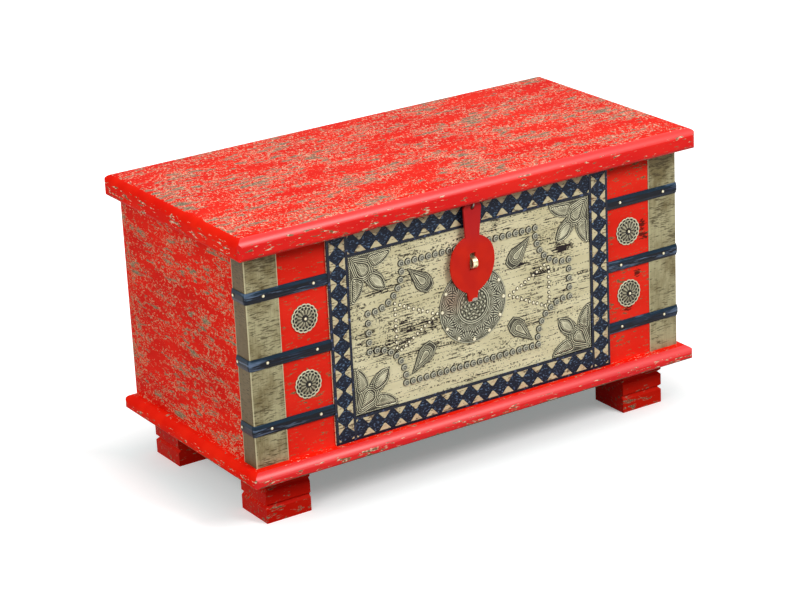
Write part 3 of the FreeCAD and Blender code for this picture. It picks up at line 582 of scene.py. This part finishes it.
# which finish the CAD's own nodes get, by the start of their names; a later line goes over an
# earlier one
for material, names in (
    (lidPaint, "lid_board"),
    (basePaint, "base_board"),
    (endPaint, "end_board_"),
    (frontPaint, "front_board"),
    (backPaint, "back_board"),
    (footPaint, "foot_"),
    (wornCream("wornCreamPaint"), "panel_board"),
    (carvedBorder("carvedPaintedBorder"), "border_"),
    (beadPaint("darkBeadPaint"), "border_beads"),
    (agedSheet("agedSheetBrass"), "corner_wrap_"),
    (lacqueredIron("lacqueredIron"), ("strap_left_", "strap_right_")),
    (brushedRed("brushedRedPaintOnIron"), "hasp"),
    (plainMetal("forgedPaleBrass", "#e6e0bd", "#a59b6c", 0.3, 0.75), "hasp_staple"),
    (hingeSteel, ("hasp_eye", "hinge_")),
):
    for key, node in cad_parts.items():
        if key.startswith(names):
            node.data.materials.clear()
            node.data.materials.append(material)
print("finishes made")


def makePiece(name, points, faces, material, body, replaced, relief=None):
    mesh = bpy.data.meshes.new(name)
    mesh.from_pydata([tuple(point) for point in points], [], faces)
    if relief is not None:
        layer = mesh.attributes.new("relief", "FLOAT", "POINT")
        layer.data.foreach_set("value", np.asarray(relief, np.float32))
    form = bmesh.new()
    form.from_mesh(mesh)
    bmesh.ops.recalc_face_normals(form, faces=form.faces)
    form.to_mesh(mesh)
    form.free()
    mesh.shade_smooth()
    mesh.materials.append(material)
    piece = bpy.data.objects.new(name, mesh)
    bpy.context.scene.collection.objects.link(piece)
    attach(piece, body)
    if replaced:
        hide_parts(*replaced)
    return piece


# the faces between rings of points, each ring closed on itself
def ringFaces(start, rings, spokes):
    faces = []
    for ring in range(start, start + (rings - 1) * spokes, spokes):
        for spoke in range(spokes):
            here, beside = ring + spoke, ring + (spoke + 1) % spokes
            faces.append((here, beside, beside + spokes, here + spokes))
    return faces


# the boxes of a node's loose solids, such as each nail of a set
def solidBoxes(node):
    form = bmesh.new()
    form.from_mesh(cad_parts[node].data)
    bmesh.ops.remove_doubles(form, verts=form.verts, dist=1e-6)
    left = set(form.verts)
    boxes = []
    while left:
        group = set()
        edge = [left.pop()]
        while edge:
            vert = edge.pop()
            group.add(vert)
            for link in vert.link_edges:
                other = link.other_vert(vert)
                if other in left:
                    left.discard(other)
                    edge.append(other)
        spots = np.array([vert.co for vert in group])
        boxes.append((Vector(spots.min(0)), Vector(spots.max(0))))
    form.free()
    return sorted(boxes, key=lambda box: tuple(round(part, 5) for part in box[0]))


# Nail heads, turned on a lathe profile: (share of the radius, share of the height, relief level)
# the relief level sets each ring's colour: dark at the foot and in the dome nails' dimple as painted
# shadow, bright on the crown as painted highlight
domeProfile = (
    (1.0, 0.0, 0.0), (0.98, 0.1, 0.0), (0.93, 0.3, 0.1), (0.88, 0.6, 0.5), (0.81, 0.84, 0.85),
    (0.70, 0.98, 1.0), (0.58, 1.0, 0.85), (0.49, 0.9, 0.4), (0.40, 0.85, 0.15), (0.30, 0.86, 0.45),
    (0.18, 0.9, 0.8), (0.0, 0.92, 0.8),
)
roundProfile = (
    (1.0, 0.0, 0.1), (0.97, 0.25, 0.15), (0.86, 0.50, 0.35), (0.70, 0.76, 0.7), (0.45, 0.93, 0.95),
    (0.2, 0.99, 1.0), (0.0, 1.0, 1.0),
)
# fine pins have a dark flat ring round them, a painted shadow
pinProfile = (
    (1.0, 0.0, 0.0), (0.98, 0.12, 0.0), (0.72, 0.16, 0.0), (0.68, 0.4, 0.3), (0.60, 0.75, 0.8),
    (0.4, 0.95, 1.0), (0.0, 1.0, 1.0),
)


def nailHeads(name, spots, profile, material, replaced, spokes):
    points, faces, relief = [], [], []
    for center, outward, radius, height in spots:
        turn = outward.to_track_quat("Z", "Y").to_matrix()
        faces += ringFaces(len(points), len(profile), spokes)
        for share, rise, level in profile:
            for spoke in range(spokes):
                angle = 2 * math.pi * spoke / spokes
                reach = radius * share
                flat = Vector((reach * math.cos(angle), reach * math.sin(angle), height * rise))
                points.append(center + turn @ flat)
                relief.append(level)
    piece = makePiece(name, points, faces, material, "carcass", replaced, relief)
    form = bmesh.new()
    form.from_mesh(piece.data)
    bmesh.ops.remove_doubles(form, verts=form.verts, dist=1e-6)
    form.to_mesh(piece.data)
    form.free()


# where a set's nails stand: seat, outward direction, radius and height, read from the frame
def nailSpots(node, widening):
    spots = []
    for low, high in solidBoxes(node):
        size = high - low
        middle = (low + high) / 2
        if size.x < size.y:
            side = 1 if middle.x > 0 else -1
            seat = Vector((high.x if side < 0 else low.x, middle.y, middle.z))
            outward, height = Vector((side, 0, 0)), size.x
        else:
            seat = Vector((middle.x, high.y, middle.z))
            outward, height = Vector((0, -1, 0)), size.y
        spots.append((seat, outward, size.z / 2 * widening, height))
    return spots


# each set's widening makes up for the faceted heads of the CAD, whose corners lie on the round
for nodeName, pieceName, widening, profile, metal, slotName, spokes in (
    ("dome_nails", "domeNails", 1.13, domeProfile, pewter, "pewter_nails", 24),
    ("strap_nails", "strapNails", 1.0, roundProfile, brightBrass, "brass_nails", 20),
    ("rosette_nails", "rosetteNails", 1.0, roundProfile, brightBrass, "brass_nails", 20),
    ("medallion_nails", "medallionNails", 1.3, roundProfile, brightBrass, "brass_nails", 20),
):
    nailHeads(pieceName, nailSpots(nodeName, widening), profile, metal, (nodeName,), spokes)

# Fine brass pins in two triangles beside the medallion, set by hand and so a little unevenly
pinLook = {
    "radius": 3.1,
    "height": 1.5,
    "pitch": 8.4,
    "jitter": 0.7,
    # tip, upper end and lower end of each triangle, from the middle of the field
    "corners": (((-65, 0), (-137, 33), (-136, -43)), ((64, -2), (136, 34), (136, -38))),
}
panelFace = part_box("panel_board")[0].y
fieldMiddle = (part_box("corner_plate_top_right")[1].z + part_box("corner_plate_bottom_right")[0].z) / 2


def pinLine(start, end):
    count = max(1, round(math.dist(start, end) / pinLook["pitch"]))
    return [
        tuple(first + (last - first) * step / count for first, last in zip(start, end))
        for step in range(count + 1)
    ]


def finePins():
    look = pinLook
    spread = np.random.default_rng(7)
    spots = []
    for tip, upper, lower in look["corners"]:
        for across, rise in pinLine(tip, upper) + pinLine(tip, lower)[1:] + pinLine(upper, lower)[1:-1]:
            moveX, moveZ = spread.uniform(-look["jitter"], look["jitter"], 2)
            center = Vector(((across + moveX) * mm, panelFace, fieldMiddle + (rise + moveZ) * mm))
            spots.append((center, Vector((0, -1, 0)), look["radius"] * mm, look["height"] * mm))
    return spots


nailHeads("finePins", finePins(), pinProfile, brightBrass, (), 14)
print("nails made")

# Slotted screws of the hinges, set nearly flush in the leaves
screwLook = {
    "radius": 3.0,
    "slotWidth": 0.9,
    "spread": 21.0,
    "inset": 8.0,
    # each screw's place along the leaf and how its slot is turned
    "turns": ((-1, 0.3), (0, 1.2), (1, 2.2)),
    "wallHeight": 0.6,
    "lidHeight": 0.25,
}
leafPlate = 1.5 * mm


# a head is two half discs with the slot left open between them
def slottedHeads(name, body, middle, seat, outward, height):
    points, faces = [], []
    radius, slot = screwLook["radius"], screwLook["slotWidth"] / 2
    angles = [math.pi * step / 12 for step in range(13)]
    rim = [(math.cos(angle) * radius, max(math.sin(angle) * radius, slot)) for angle in angles]
    for place, turn in screwLook["turns"]:
        center = Vector((middle + place * screwLook["spread"] * mm, *seat))
        basis = outward.to_track_quat("Z", "Y").to_matrix() @ Matrix.Rotation(turn, 3, "Z")
        for half in (1, -1):
            faces += ringFaces(len(points), 3, len(rim))
            for level, shrink in ((0, 1.0), (height * 0.6, 1.0), (height, 0.9)):
                for across, rise in rim:
                    edge = max(rise * shrink, slot) * half
                    points.append(center + basis @ Vector((across * shrink * mm, edge * mm, level * mm)))
            faces.append(tuple(range(len(points) - len(rim), len(points))))
    makePiece(name, points, faces, hingeSteel, body, ())


for sideName in ("left", "right"):
    for kind, body, outward in (("wall", "carcass", Vector((0, 1, 0))), ("lid", "lid", Vector((0, 0, -1)))):
        low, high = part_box(f"hinge_{kind}_leaf_{sideName}")
        inset = screwLook["inset"] * mm
        seat = (low.y + leafPlate, low.z + inset) if kind == "wall" else (low.y + inset, high.z - leafPlate)
        name = f"{kind.title()}Leaf{sideName.title()}Screws"
        slottedHeads(name, body, (low.x + high.x) / 2, seat, outward, screwLook[kind + "Height"])


# Embossed sheets. Outlines and marks are in millimetres on the sheet, heights above the panel.
def sidesOf(outline):
    return zip(outline, [*outline[1:], outline[0]])


def insideOf(along, down, outline):
    inside = np.zeros(along.shape, bool)
    for (startAlong, startDown), (endAlong, endDown) in sidesOf(outline):
        crosses = (startDown > down) != (endDown > down)
        at = (endAlong - startAlong) * (down - startDown) / ((endDown - startDown) or 1e-9) + startAlong
        inside ^= crosses & (along < at)
    return inside


# the distance to an outline, and the point on it that is nearest
def nearestOn(along, down, outline):
    best = np.full(along.shape, 1e9)
    bestAlong, bestDown = np.zeros(along.shape), np.zeros(along.shape)
    for (startAlong, startDown), (endAlong, endDown) in sidesOf(outline):
        runAlong, runDown = endAlong - startAlong, endDown - startDown
        share = (along - startAlong) * runAlong + (down - startDown) * runDown
        share = np.clip(share / max(runAlong * runAlong + runDown * runDown, 1e-9), 0, 1)
        nearAlong, nearDown = startAlong + share * runAlong, startDown + share * runDown
        far = np.hypot(along - nearAlong, down - nearDown)
        closer = far < best
        best = np.where(closer, far, best)
        bestAlong, bestDown = np.where(closer, nearAlong, bestAlong), np.where(closer, nearDown, bestDown)
    return best, bestAlong, bestDown


def depthInside(along, down, outline):
    far, _, _ = nearestOn(along, down, outline)
    return np.where(insideOf(along, down, outline), far, -far)


# from 0 where a value starts to 1 a run later
def ramp(value, start, run):
    return np.clip((value - start) / run, 0, 1)


# a rounded pad over a shape, rising over its first few millimetres
def pad(depth, rise, run):
    return rise * np.sqrt(np.clip(1 - (1 - ramp(depth, 0, run)) ** 2, 0, 1))


# a thin raised line where the depth passes a level
def ridge(depth, level, width, rise):
    return rise * np.exp(-((depth - level) / width) ** 2)


# a closed smooth curve through the corners
def smoothLoop(corners, steps=6):
    ring = np.array(corners, float)
    points = []
    for at in range(len(ring)):
        before, start, end, after = (ring[(at + shift) % len(ring)] for shift in (-1, 0, 1, 2))
        for step in range(steps):
            share = step / steps
            points.append(tuple(0.5 * (
                2 * start + (end - before) * share
                + (2 * before - 5 * start + 4 * end - after) * share * share
                + (3 * start - before - 3 * end + after) * share ** 3
            )))
    return points


def tearDrop(tip, end, radius, steps=24):
    tip, end = np.array(tip, float), np.array(end, float)
    axis = (end - tip) / np.linalg.norm(end - tip)
    side = np.array([-axis[1], axis[0]])
    center = end - axis * radius
    half = math.acos(min(1, radius / np.linalg.norm(center - tip)))
    points = [tuple(tip)]
    for step in range(steps + 1):
        angle = math.pi - half - (2 * math.pi - 2 * half) * step / steps
        points.append(tuple(center + radius * (math.cos(angle) * axis + math.sin(angle) * side)))
    return points


# the tone of a relief: brighter where it stands above the mean of the points around
def reliefTone(height, valid, reach=2):
    total, weight = np.zeros(height.shape), np.zeros(height.shape)
    padded = np.pad(np.where(valid, height, 0), reach)
    known = np.pad(valid.astype(float), reach)
    rows, columns = height.shape
    for row in range(2 * reach + 1):
        for column in range(2 * reach + 1):
            total += padded[row:row + rows, column:column + columns]
            weight += known[row:row + rows, column:column + columns]
    return np.clip(0.47 + (height - total / np.maximum(weight, 1)) * 2.6, 0, 1)


# makes a sheet's piece, with walls from its open edges down to the face that it lies on
def raisedSheet(name, points, faces, levels, face, wallLevel, material, nodeName):
    edges = {}
    for corners in faces:
        for pair in zip(corners, corners[1:] + corners[:1]):
            key = (min(pair), max(pair))
            edges[key] = None if key in edges else pair
    foot = {}
    # the walls take a low relief level and so come out dark, a painted shade along the sheet's edge
    for start, end in filter(None, edges.values()):
        for corner in (start, end):
            if corner not in foot:
                foot[corner] = len(points)
                points.append((points[corner][0], face, points[corner][2]))
                levels.append(wallLevel)
        faces.append((end, start, foot[start], foot[end]))
    makePiece(name, points, faces, material, "carcass", (nodeName,), levels)


def embossedSheet(name, nodeName, outline, heightAt, toneAt, place, grain):
    corners = np.array(outline)
    reach = zip(corners.min(0) - grain, corners.max(0) + 2 * grain)
    lines = [np.arange(first, last, grain) for first, last in reach]
    along, down = np.meshgrid(*lines, indexing="ij")
    middles = ((grid[:-1, :-1] + grid[1:, 1:]) / 2 for grid in (along, down))
    cells = insideOf(*middles, outline)
    used = np.zeros(along.shape, int)
    for row, column in ((0, 0), (1, 0), (0, 1), (1, 1)):
        used[row:row + cells.shape[0], column:column + cells.shape[1]] += cells
    kept = used > 0
    # the points at the rim move onto the outline
    rim = kept & (used < 4)
    _, rimAlong, rimDown = nearestOn(along, down, outline)
    along, down = np.where(rim, rimAlong, along), np.where(rim, rimDown, down)
    # no relief below the panel or above the thickness that the node's box gives
    low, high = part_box(nodeName)
    height = np.clip(heightAt(along, down), 0.15, (high.y - low.y) / mm)
    levels = np.clip(reliefTone(height, kept) + toneAt(along, down), 0, 1)
    index = np.full(along.shape, -1)
    index[kept] = np.arange(kept.sum())
    points = [place(*spot) for spot in zip(along[kept], down[kept], height[kept])]
    faces = [
        (index[row, column], index[row + 1, column], index[row + 1, column + 1], index[row, column + 1])
        for row, column in zip(*np.nonzero(cells))
    ]
    levels = list(levels[kept])
    raisedSheet(name, points, faces, levels, panelFace, 0.2, plateMetal, nodeName)


# Corner plates: one side runs along the field's top or bottom edge, the other down its side
cornerLook = {
    "grain": 0.65,
    "sheet": 0.9,
    "padRise": 1.3,
    "lineRise": 0.6,
    "groove": 1.0,
    "beadPitch": 2.9,
    "strokePitch": 3.4,
    "strokeDepth": 0.7,
    # how dull the sheet is, and how much lighter its pads, their outer tips and the drop are painted, as
    # painted highlight
    "dull": -0.13,
    "padHighlight": 0.1,
    "tipHighlight": 0.36,
    "dropHighlight": 0.28,
}
# the plate's shape as shares of its reach, which is read from the frame
plateLow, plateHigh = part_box("corner_plate_top_right")
plateReach = (plateHigh.x - plateLow.x) / mm


def onPlate(*shares):
    return [(along * plateReach, down * plateReach) for along, down in shares]


def mirrored(shape):
    return [(down, along) for along, down in shape]


halfOutline = onPlate(
    (0, 0), (1, 0), (0.99, 0.08), (0.93, 0.18), (0.82, 0.27), (0.69, 0.33), (0.56, 0.35),
    (0.66, 0.41), (0.77, 0.52), (0.83, 0.66), (0.84, 0.84),
)
cornerOutline = halfOutline + mirrored(reversed(halfOutline[1:-1]))
armPad = smoothLoop(onPlate(
    (0.50, 0.11), (0.70, 0.085), (0.93, 0.085), (0.84, 0.20), (0.72, 0.27), (0.59, 0.30), (0.52, 0.22),
))
sidePad = mirrored(armPad)
leafPad = smoothLoop(onPlate(
    (0.48, 0.48), (0.58, 0.48), (0.71, 0.56), (0.77, 0.66), (0.79, 0.79), (0.66, 0.77), (0.56, 0.71),
    (0.48, 0.58),
))
dropPad = tearDrop(*onPlate((0.15, 0.15), (0.42, 0.42)), 0.115 * plateReach)


def cornerHeight(along, down):
    look = cornerLook
    height = np.full(along.shape, look["sheet"])
    edgeDepth = depthInside(along, down, cornerOutline)
    beads = 0.5 + 0.5 * np.cos(2 * math.pi * (along - down) / look["beadPitch"])
    height += ridge(edgeDepth, 2.2, 0.9, look["lineRise"]) * (0.1 + 1.3 * beads)
    # each pad has lines pressed round it, this far out from its edge
    for shape, lines, run in (
        (armPad, (-2.2,), along - down), (sidePad, (-2.2,), along - down),
        (leafPad, (-2.0,), along + down), (dropPad, (-2.4, -5.2, -8.0), along + down),
    ):
        depth = depthInside(along, down, shape)
        height += pad(depth, look["padRise"], 3.6)
        height -= ridge(depth, -0.7, 0.6, look["groove"])
        # short strokes cut in from each leaf's edge
        strokes = 0.5 + 0.5 * np.cos(2 * math.pi * run / look["strokePitch"])
        height -= look["strokeDepth"] * strokes * ramp(depth, 0, 0.6) * (1 - ramp(depth, 2.1, 2.5))
        for line in lines:
            height += ridge(depth, line, 0.75, look["lineRise"])
            height -= ridge(depth, line - 1.3, 0.6, look["groove"] * 0.5)
    return np.where(edgeDepth < 0.4, look["sheet"] * 0.7, height)


# the raised leaves and the drop are painted lighter as a painted highlight, most at the leaves' outer tips;
# the sheet between them stays dull
def cornerTone(along, down):
    look = cornerLook
    tone = np.full(along.shape, look["dull"])
    leafTone = look["padHighlight"] + look["tipHighlight"] * ramp(np.hypot(along, down) / plateReach, 0.5, 0.5)
    for shape in (armPad, sidePad, leafPad):
        tone += leafTone * ramp(depthInside(along, down, shape), 1.0, 3.0)
    return tone + look["dropHighlight"] * ramp(depthInside(along, down, dropPad), 1.0, 3.0)


# Kite plates run from a tip near the corner inwards. Drop shapes nest in each other.
kiteLook = {
    "grain": 0.7,
    "sheet": 0.9,
    "nested": (-2.0, -4.4, -6.8),
}
halfKite = [(0, 0.6), (14, 6.0), (34, 14.6), (44, 13.6), (55, 8.2)]
kiteOutline = halfKite + [(56, 0)] + [(along, -down) for along, down in reversed(halfKite)]
kiteDrop = tearDrop((14, 0), (41, 0), 5.2)


def kiteHeight(along, down):
    edgeDepth = depthInside(along, down, kiteOutline)
    depth = depthInside(along, down, kiteDrop)
    height = kiteLook["sheet"] + ridge(edgeDepth, 1.8, 0.7, 0.4)
    height += pad(depth, 0.8, 4.5) - ridge(depth, -0.6, 0.6, 0.6)
    for line in kiteLook["nested"]:
        height += ridge(depth, line, 0.8, 0.5) * (edgeDepth > 2.2)
    return height


# the drop is painted lighter than the sheet round it, a painted highlight
def kiteTone(along, down):
    return 0.2 * ramp(depthInside(along, down, kiteDrop), 0, 3.5) - 0.1


# the two kinds of plate in the field's four corners; a kite is turned to lie on the diagonal
def placePlates(kind, outline, heightAt, toneAt, turn, grain):
    for sideName, side in (("left", -1), ("right", 1)):
        for endName, end in (("top", 1), ("bottom", -1)):
            nodeName = f"{kind}_plate_{endName}_{sideName}"
            low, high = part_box(nodeName)
            cornerX = high.x if side > 0 else low.x
            cornerZ = high.z if end > 0 else low.z

            def onPanel(along, down, height):
                inward = along * math.cos(turn) - down * math.sin(turn)
                drop = along * math.sin(turn) + down * math.cos(turn)
                return (cornerX - side * inward * mm, panelFace - height * mm, cornerZ - end * drop * mm)

            name = f"{kind}Plate{endName.title()}{sideName.title()}"
            embossedSheet(name, nodeName, outline, heightAt, toneAt, onPanel, grain)


placePlates("corner", cornerOutline, cornerHeight, cornerTone, 0.0, cornerLook["grain"])
placePlates("kite", kiteOutline, kiteHeight, kiteTone, math.pi / 4, kiteLook["grain"])
print("plates made")


# Round ornaments on a polar grid
def embossedDisc(name, nodeName, edgeAt, rings, spokes, heightAt, toneAt, material, face):
    low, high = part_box(nodeName)
    center = (low + high) / 2
    shares = np.linspace(0, 1, rings + 1)[1:]
    share, angle = np.meshgrid(shares, np.arange(spokes) * 2 * math.pi / spokes, indexing="ij")
    radius = share * edgeAt(angle)
    height = heightAt(radius, angle)
    if toneAt:
        levels = toneAt(radius, angle)
    else:
        around = np.hstack([height[:, -4:], height, height[:, :4]])
        levels = reliefTone(around, np.ones(around.shape, bool))[:, 4:-4]
    top = float(heightAt(np.zeros(1), np.zeros(1))[0])
    points = [(center.x, face - top * mm, center.z)]
    points += zip(
        (center.x + radius * np.cos(angle) * mm).ravel(), (face - height * mm).ravel(),
        (center.z + radius * np.sin(angle) * mm).ravel(),
    )
    faces = [(0, 1 + spoke, 1 + (spoke + 1) % spokes) for spoke in range(spokes)]
    faces += ringFaces(1, rings, spokes)
    raisedSheet(name, points, faces, [0.5, *levels.ravel()], face, 0.1, material, nodeName)


# Medallion: a seed head inside a double ring, a band of veined leaves and a plain nailed rim
medallionLook = {
    # fans of chased strokes: radius of their middles, number, shift, reach and strokes to the turn
    "outerFans": (55.5, 14, 0.0, 15.0, 19),
    "innerFans": (30.5, 14, 0.5, 13.0, 17),
    "seedRings": ((0.0, 1), (7.2, 6), (14.4, 12), (21.2, 18)),
    "seedSize": 1.7,
}
medallionRadius = (medallionHigh.x - medallionLow.x) / mm / 2
medallionTop = (medallionHigh.y - medallionLow.y) / mm


def fanStrokes(radius, angle, middle, count, shift, reach, strokes):
    sector = 2 * math.pi / count
    local = (np.mod(angle / sector + shift + 0.5, 1) - 0.5) * sector
    outward = radius * np.cos(local) - middle
    sideways = radius * np.sin(local)
    far = np.hypot(outward, sideways)
    share = (1 - ramp(far, reach - 1.5, 1.5)) * (radius < 56)
    wave = np.cos(strokes * np.arctan2(sideways, outward) + far * 0.12)
    return wave * share * ramp(far, 2.0, 1.5) - 0.8 * ridge(far, reach, 0.8, 1.0) * (radius < 55), share


def medallionHeight(radius, angle):
    look = medallionLook
    height = np.interp(radius, [0, 23, 26, 50, 54, medallionRadius], [1.6, 1.7, 2.2, 1.3, 1.0, 0.9])
    outer, outerShare = fanStrokes(radius, angle, *look["outerFans"])
    inner, _ = fanStrokes(radius, angle, *look["innerFans"])
    height = height + 0.4 * outer + 0.4 * inner * (1 - outerShare) * ramp(radius, 29.6, 1.0)
    for level, rise in ((25.4, 0.5), (28.6, 0.5), (medallionRadius - 1.0, 0.4), (27.0, -0.5)):
        height = height + ridge(radius, level, 0.7, rise)
    for ringRadius, count in look["seedRings"]:
        offset = np.mod(angle * count / (2 * math.pi) + 0.5, 1) - 0.5
        sideways = offset * 2 * math.pi * ringRadius / count
        far = np.hypot(sideways, radius - ringRadius) if count > 1 else radius
        height = height + ridge(far, 0.0, look["seedSize"], 0.85) - ridge(far, 2.9, 0.9, 0.3)
    return np.minimum(height, medallionTop)


embossedDisc(
    "medallionDisc", "medallion", lambda angle: np.full(angle.shape, medallionRadius), 84, 384,
    medallionHeight, None, medallionMetal, panelFace,
)

# Rosettes: a scalloped edge, two rings of deep pockets and long petals round the nail
rosetteLook = {
    "lobes": 16,
    "petals": 12,
    "sheet": 1.2,
    "pocket": 0.25,
}


def rosetteEdge(angle):
    return 20.4 + 1.5 * np.sqrt(np.abs(np.cos(rosetteLook["lobes"] * angle / 2)))


def rosettePetal(angle):
    return np.abs(np.sin(rosetteLook["petals"] * angle / 2))


def rosetteHole(radius, angle):
    lobes = rosetteLook["lobes"]
    phase = np.mod(angle * lobes / (2 * math.pi), 1) - 0.5
    outer = (np.abs(phase) - 0.5) * 2 * math.pi * 18.3 / lobes / 2.4
    inner = phase * 2 * math.pi * 14.2 / lobes / (1.6 + 0.3 * (radius - 14))
    return (((radius - 18.3) / 1.4) ** 2 + outer ** 2 < 1) | (((radius - 14.2) / 2.1) ** 2 + inner ** 2 < 1)


def rosetteHeight(radius, angle):
    sheet = rosetteLook["sheet"]
    height = np.interp(radius, [0, 3.2, 4.6, 5.6, 12.6, 22], [3.2, 3.1, 2.3, 2.3, sheet, sheet])
    height = height + 0.9 * rosettePetal(angle) ** 0.6 * (1 - ramp(radius, 9.6, 3)) * ramp(radius, 5.0, 2)
    height = height + ridge(radius, rosetteEdge(angle) - 0.9, 0.8, 0.35)
    return np.where(rosetteHole(radius, angle), rosetteLook["pocket"], height)


# bright rims and petals, partly painted highlight; near black in the pockets and round the nail, a painted
# shadow
def rosetteTone(radius, angle):
    tone = np.where(radius > 12.6, 0.6, 0.1 + 0.56 * rosettePetal(angle) ** 0.8)
    tone = tone + ridge(radius, rosetteEdge(angle) - 0.7, 0.8, 0.34) + ridge(radius, 16.3, 0.7, 0.24)
    tone = np.where(radius < 5.6, 0.1, tone)
    return np.where(rosetteHole(radius, angle), 0.0, tone)


for sideName in ("left", "right"):
    for endName in ("lower", "upper"):
        nodeName = f"rosette_{sideName}_{endName}"
        embossedDisc(
            f"rosette{sideName.title()}{endName.title()}", nodeName, rosetteEdge, 34, 256, rosetteHeight,
            rosetteTone, rosetteBrass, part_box(nodeName)[1].y,
        )
print("medallion and rosettes made")

# Floor, light and camera
stageLook = {
    "floor": "#f4f4f4",
    "floorBounce": "#808080",
    # glow of the floor under the chest, which evens out the red cast in the shadow, and away from it
    "nearGlow": "#7c8a89",
    "farGlow": "#e7e7e7",
    "fadeReach": 0.2,
    "floorReach": 9.0,
    "horizonLevel": 0.12,
    "skyLevel": 0.66,
    # lamps: place, size in metres and energy
    "keyLamp": ((1.0, -2.3, 2.3), 1.2, 57.0),
    "fillLamp": ((-2.6, -0.9, 1.7), 1.8, 41.0),
    "lampAim": (0, 0, 0.25),
}


# what the camera sees directly, or in polished metal
def seenRays(add):
    rays = ("Is Camera Ray", "Is Glossy Ray", "Is Transmission Ray")
    direct, glossy, through = add("LightPath", output=rays)
    return add("MAXIMUM", direct, add("MAXIMUM", glossy, through))


reach = stageLook["floorReach"]
floorMesh = bpy.data.meshes.new("floor")
floorCorners = [(-reach, -reach, 0), (reach, -reach, 0), (reach, reach, 0), (-reach, reach, 0)]
floorMesh.from_pydata(floorCorners, [], [(0, 1, 2, 3)])
floor = bpy.data.objects.new("floor", floorMesh)
bpy.context.scene.collection.objects.link(floor)
# seen straight on the floor is white with a little glow; what it gives back to the chest is less,
# so that the undersides stay dark
floorMaterial, add, _ = startMaterial("paleFloor")
floorX, floorY, _ = axes(add)
outX = add("SUBTRACT", add("ABSOLUTE", floorX), cadHigh[0])
outY = add("SUBTRACT", add("ABSOLUTE", floorY), cadHigh[1])
outShare = add("MapRange", add("MAXIMUM", outX, outY), 0.0, stageLook["fadeReach"])
glow = add("Emission", add("MixColour", outShare, stageLook["nearGlow"], stageLook["farGlow"]), 1.0)
seen = add("AddShader", add("BsdfDiffuse", stageLook["floor"]), glow)
bounce = add("BsdfDiffuse", stageLook["floorBounce"])
add("OutputMaterial", add("MixShader", seenRays(add), bounce, seen))
floorMesh.materials.append(floorMaterial)

# an overcast sky: bright overhead, dim at the horizon, and plain white where it is seen
world = bpy.data.worlds.new("studio")
bpy.context.scene.world = world
world.use_nodes = True
world.node_tree.nodes.clear()
add = partial(addNode, world.node_tree)
skyHeight = axes(add, "Generated")[2]
skyRise = add("MapRange", skyHeight, 0.05, 0.8, stageLook["horizonLevel"], stageLook["skyLevel"])
sky, white = (add("Background", "#ffffff", level) for level in (skyRise, 1.0))
add("OutputWorld", add("MixShader", seenRays(add), sky, white))

for lampName in ("keyLamp", "fillLamp"):
    place, size, energy = stageLook[lampName]
    lamp = bpy.data.lights.new(lampName, "AREA")
    lamp.shape = "DISK"
    lamp.size = size
    lamp.energy = energy
    holder = bpy.data.objects.new(lampName, lamp)
    bpy.context.scene.collection.objects.link(holder)
    holder.location = place
    holder.rotation_mode = "QUATERNION"
    holder.rotation_quaternion = (Vector(stageLook["lampAim"]) - Vector(place)).to_track_quat("-Z", "Y")

# the photograph's viewpoint, found by matching the chest's corners
cameraLook = {
    "target": (-12.02, 6.4, 212.75),
    "distance": 4104.7,
    "turn": 0.5644,
    "rise": 0.3557,
    "roll": -0.0479,
    "lens": 121.3,
}
turned = (
    Matrix.Rotation(-cameraLook["turn"], 3, "Z")
    @ Matrix.Rotation(math.pi / 2 - cameraLook["rise"], 3, "X")
    @ Matrix.Rotation(cameraLook["roll"], 3, "Z")
)
cameraData = bpy.data.cameras.new("camera")
cameraData.lens = cameraLook["lens"]
cameraData.sensor_width = 36.0
cameraData.clip_end = 60.0
camera = bpy.data.objects.new("camera", cameraData)
bpy.context.scene.collection.objects.link(camera)
backward = turned @ Vector((0, 0, 1))
camera.matrix_world = Matrix.Translation(
    Vector(cameraLook["target"]) * mm + backward * cameraLook["distance"] * mm
) @ turned.to_4x4()
bpy.context.scene.camera = camera
bpy.context.scene.view_settings.view_transform = "Standard"
print("stage set")
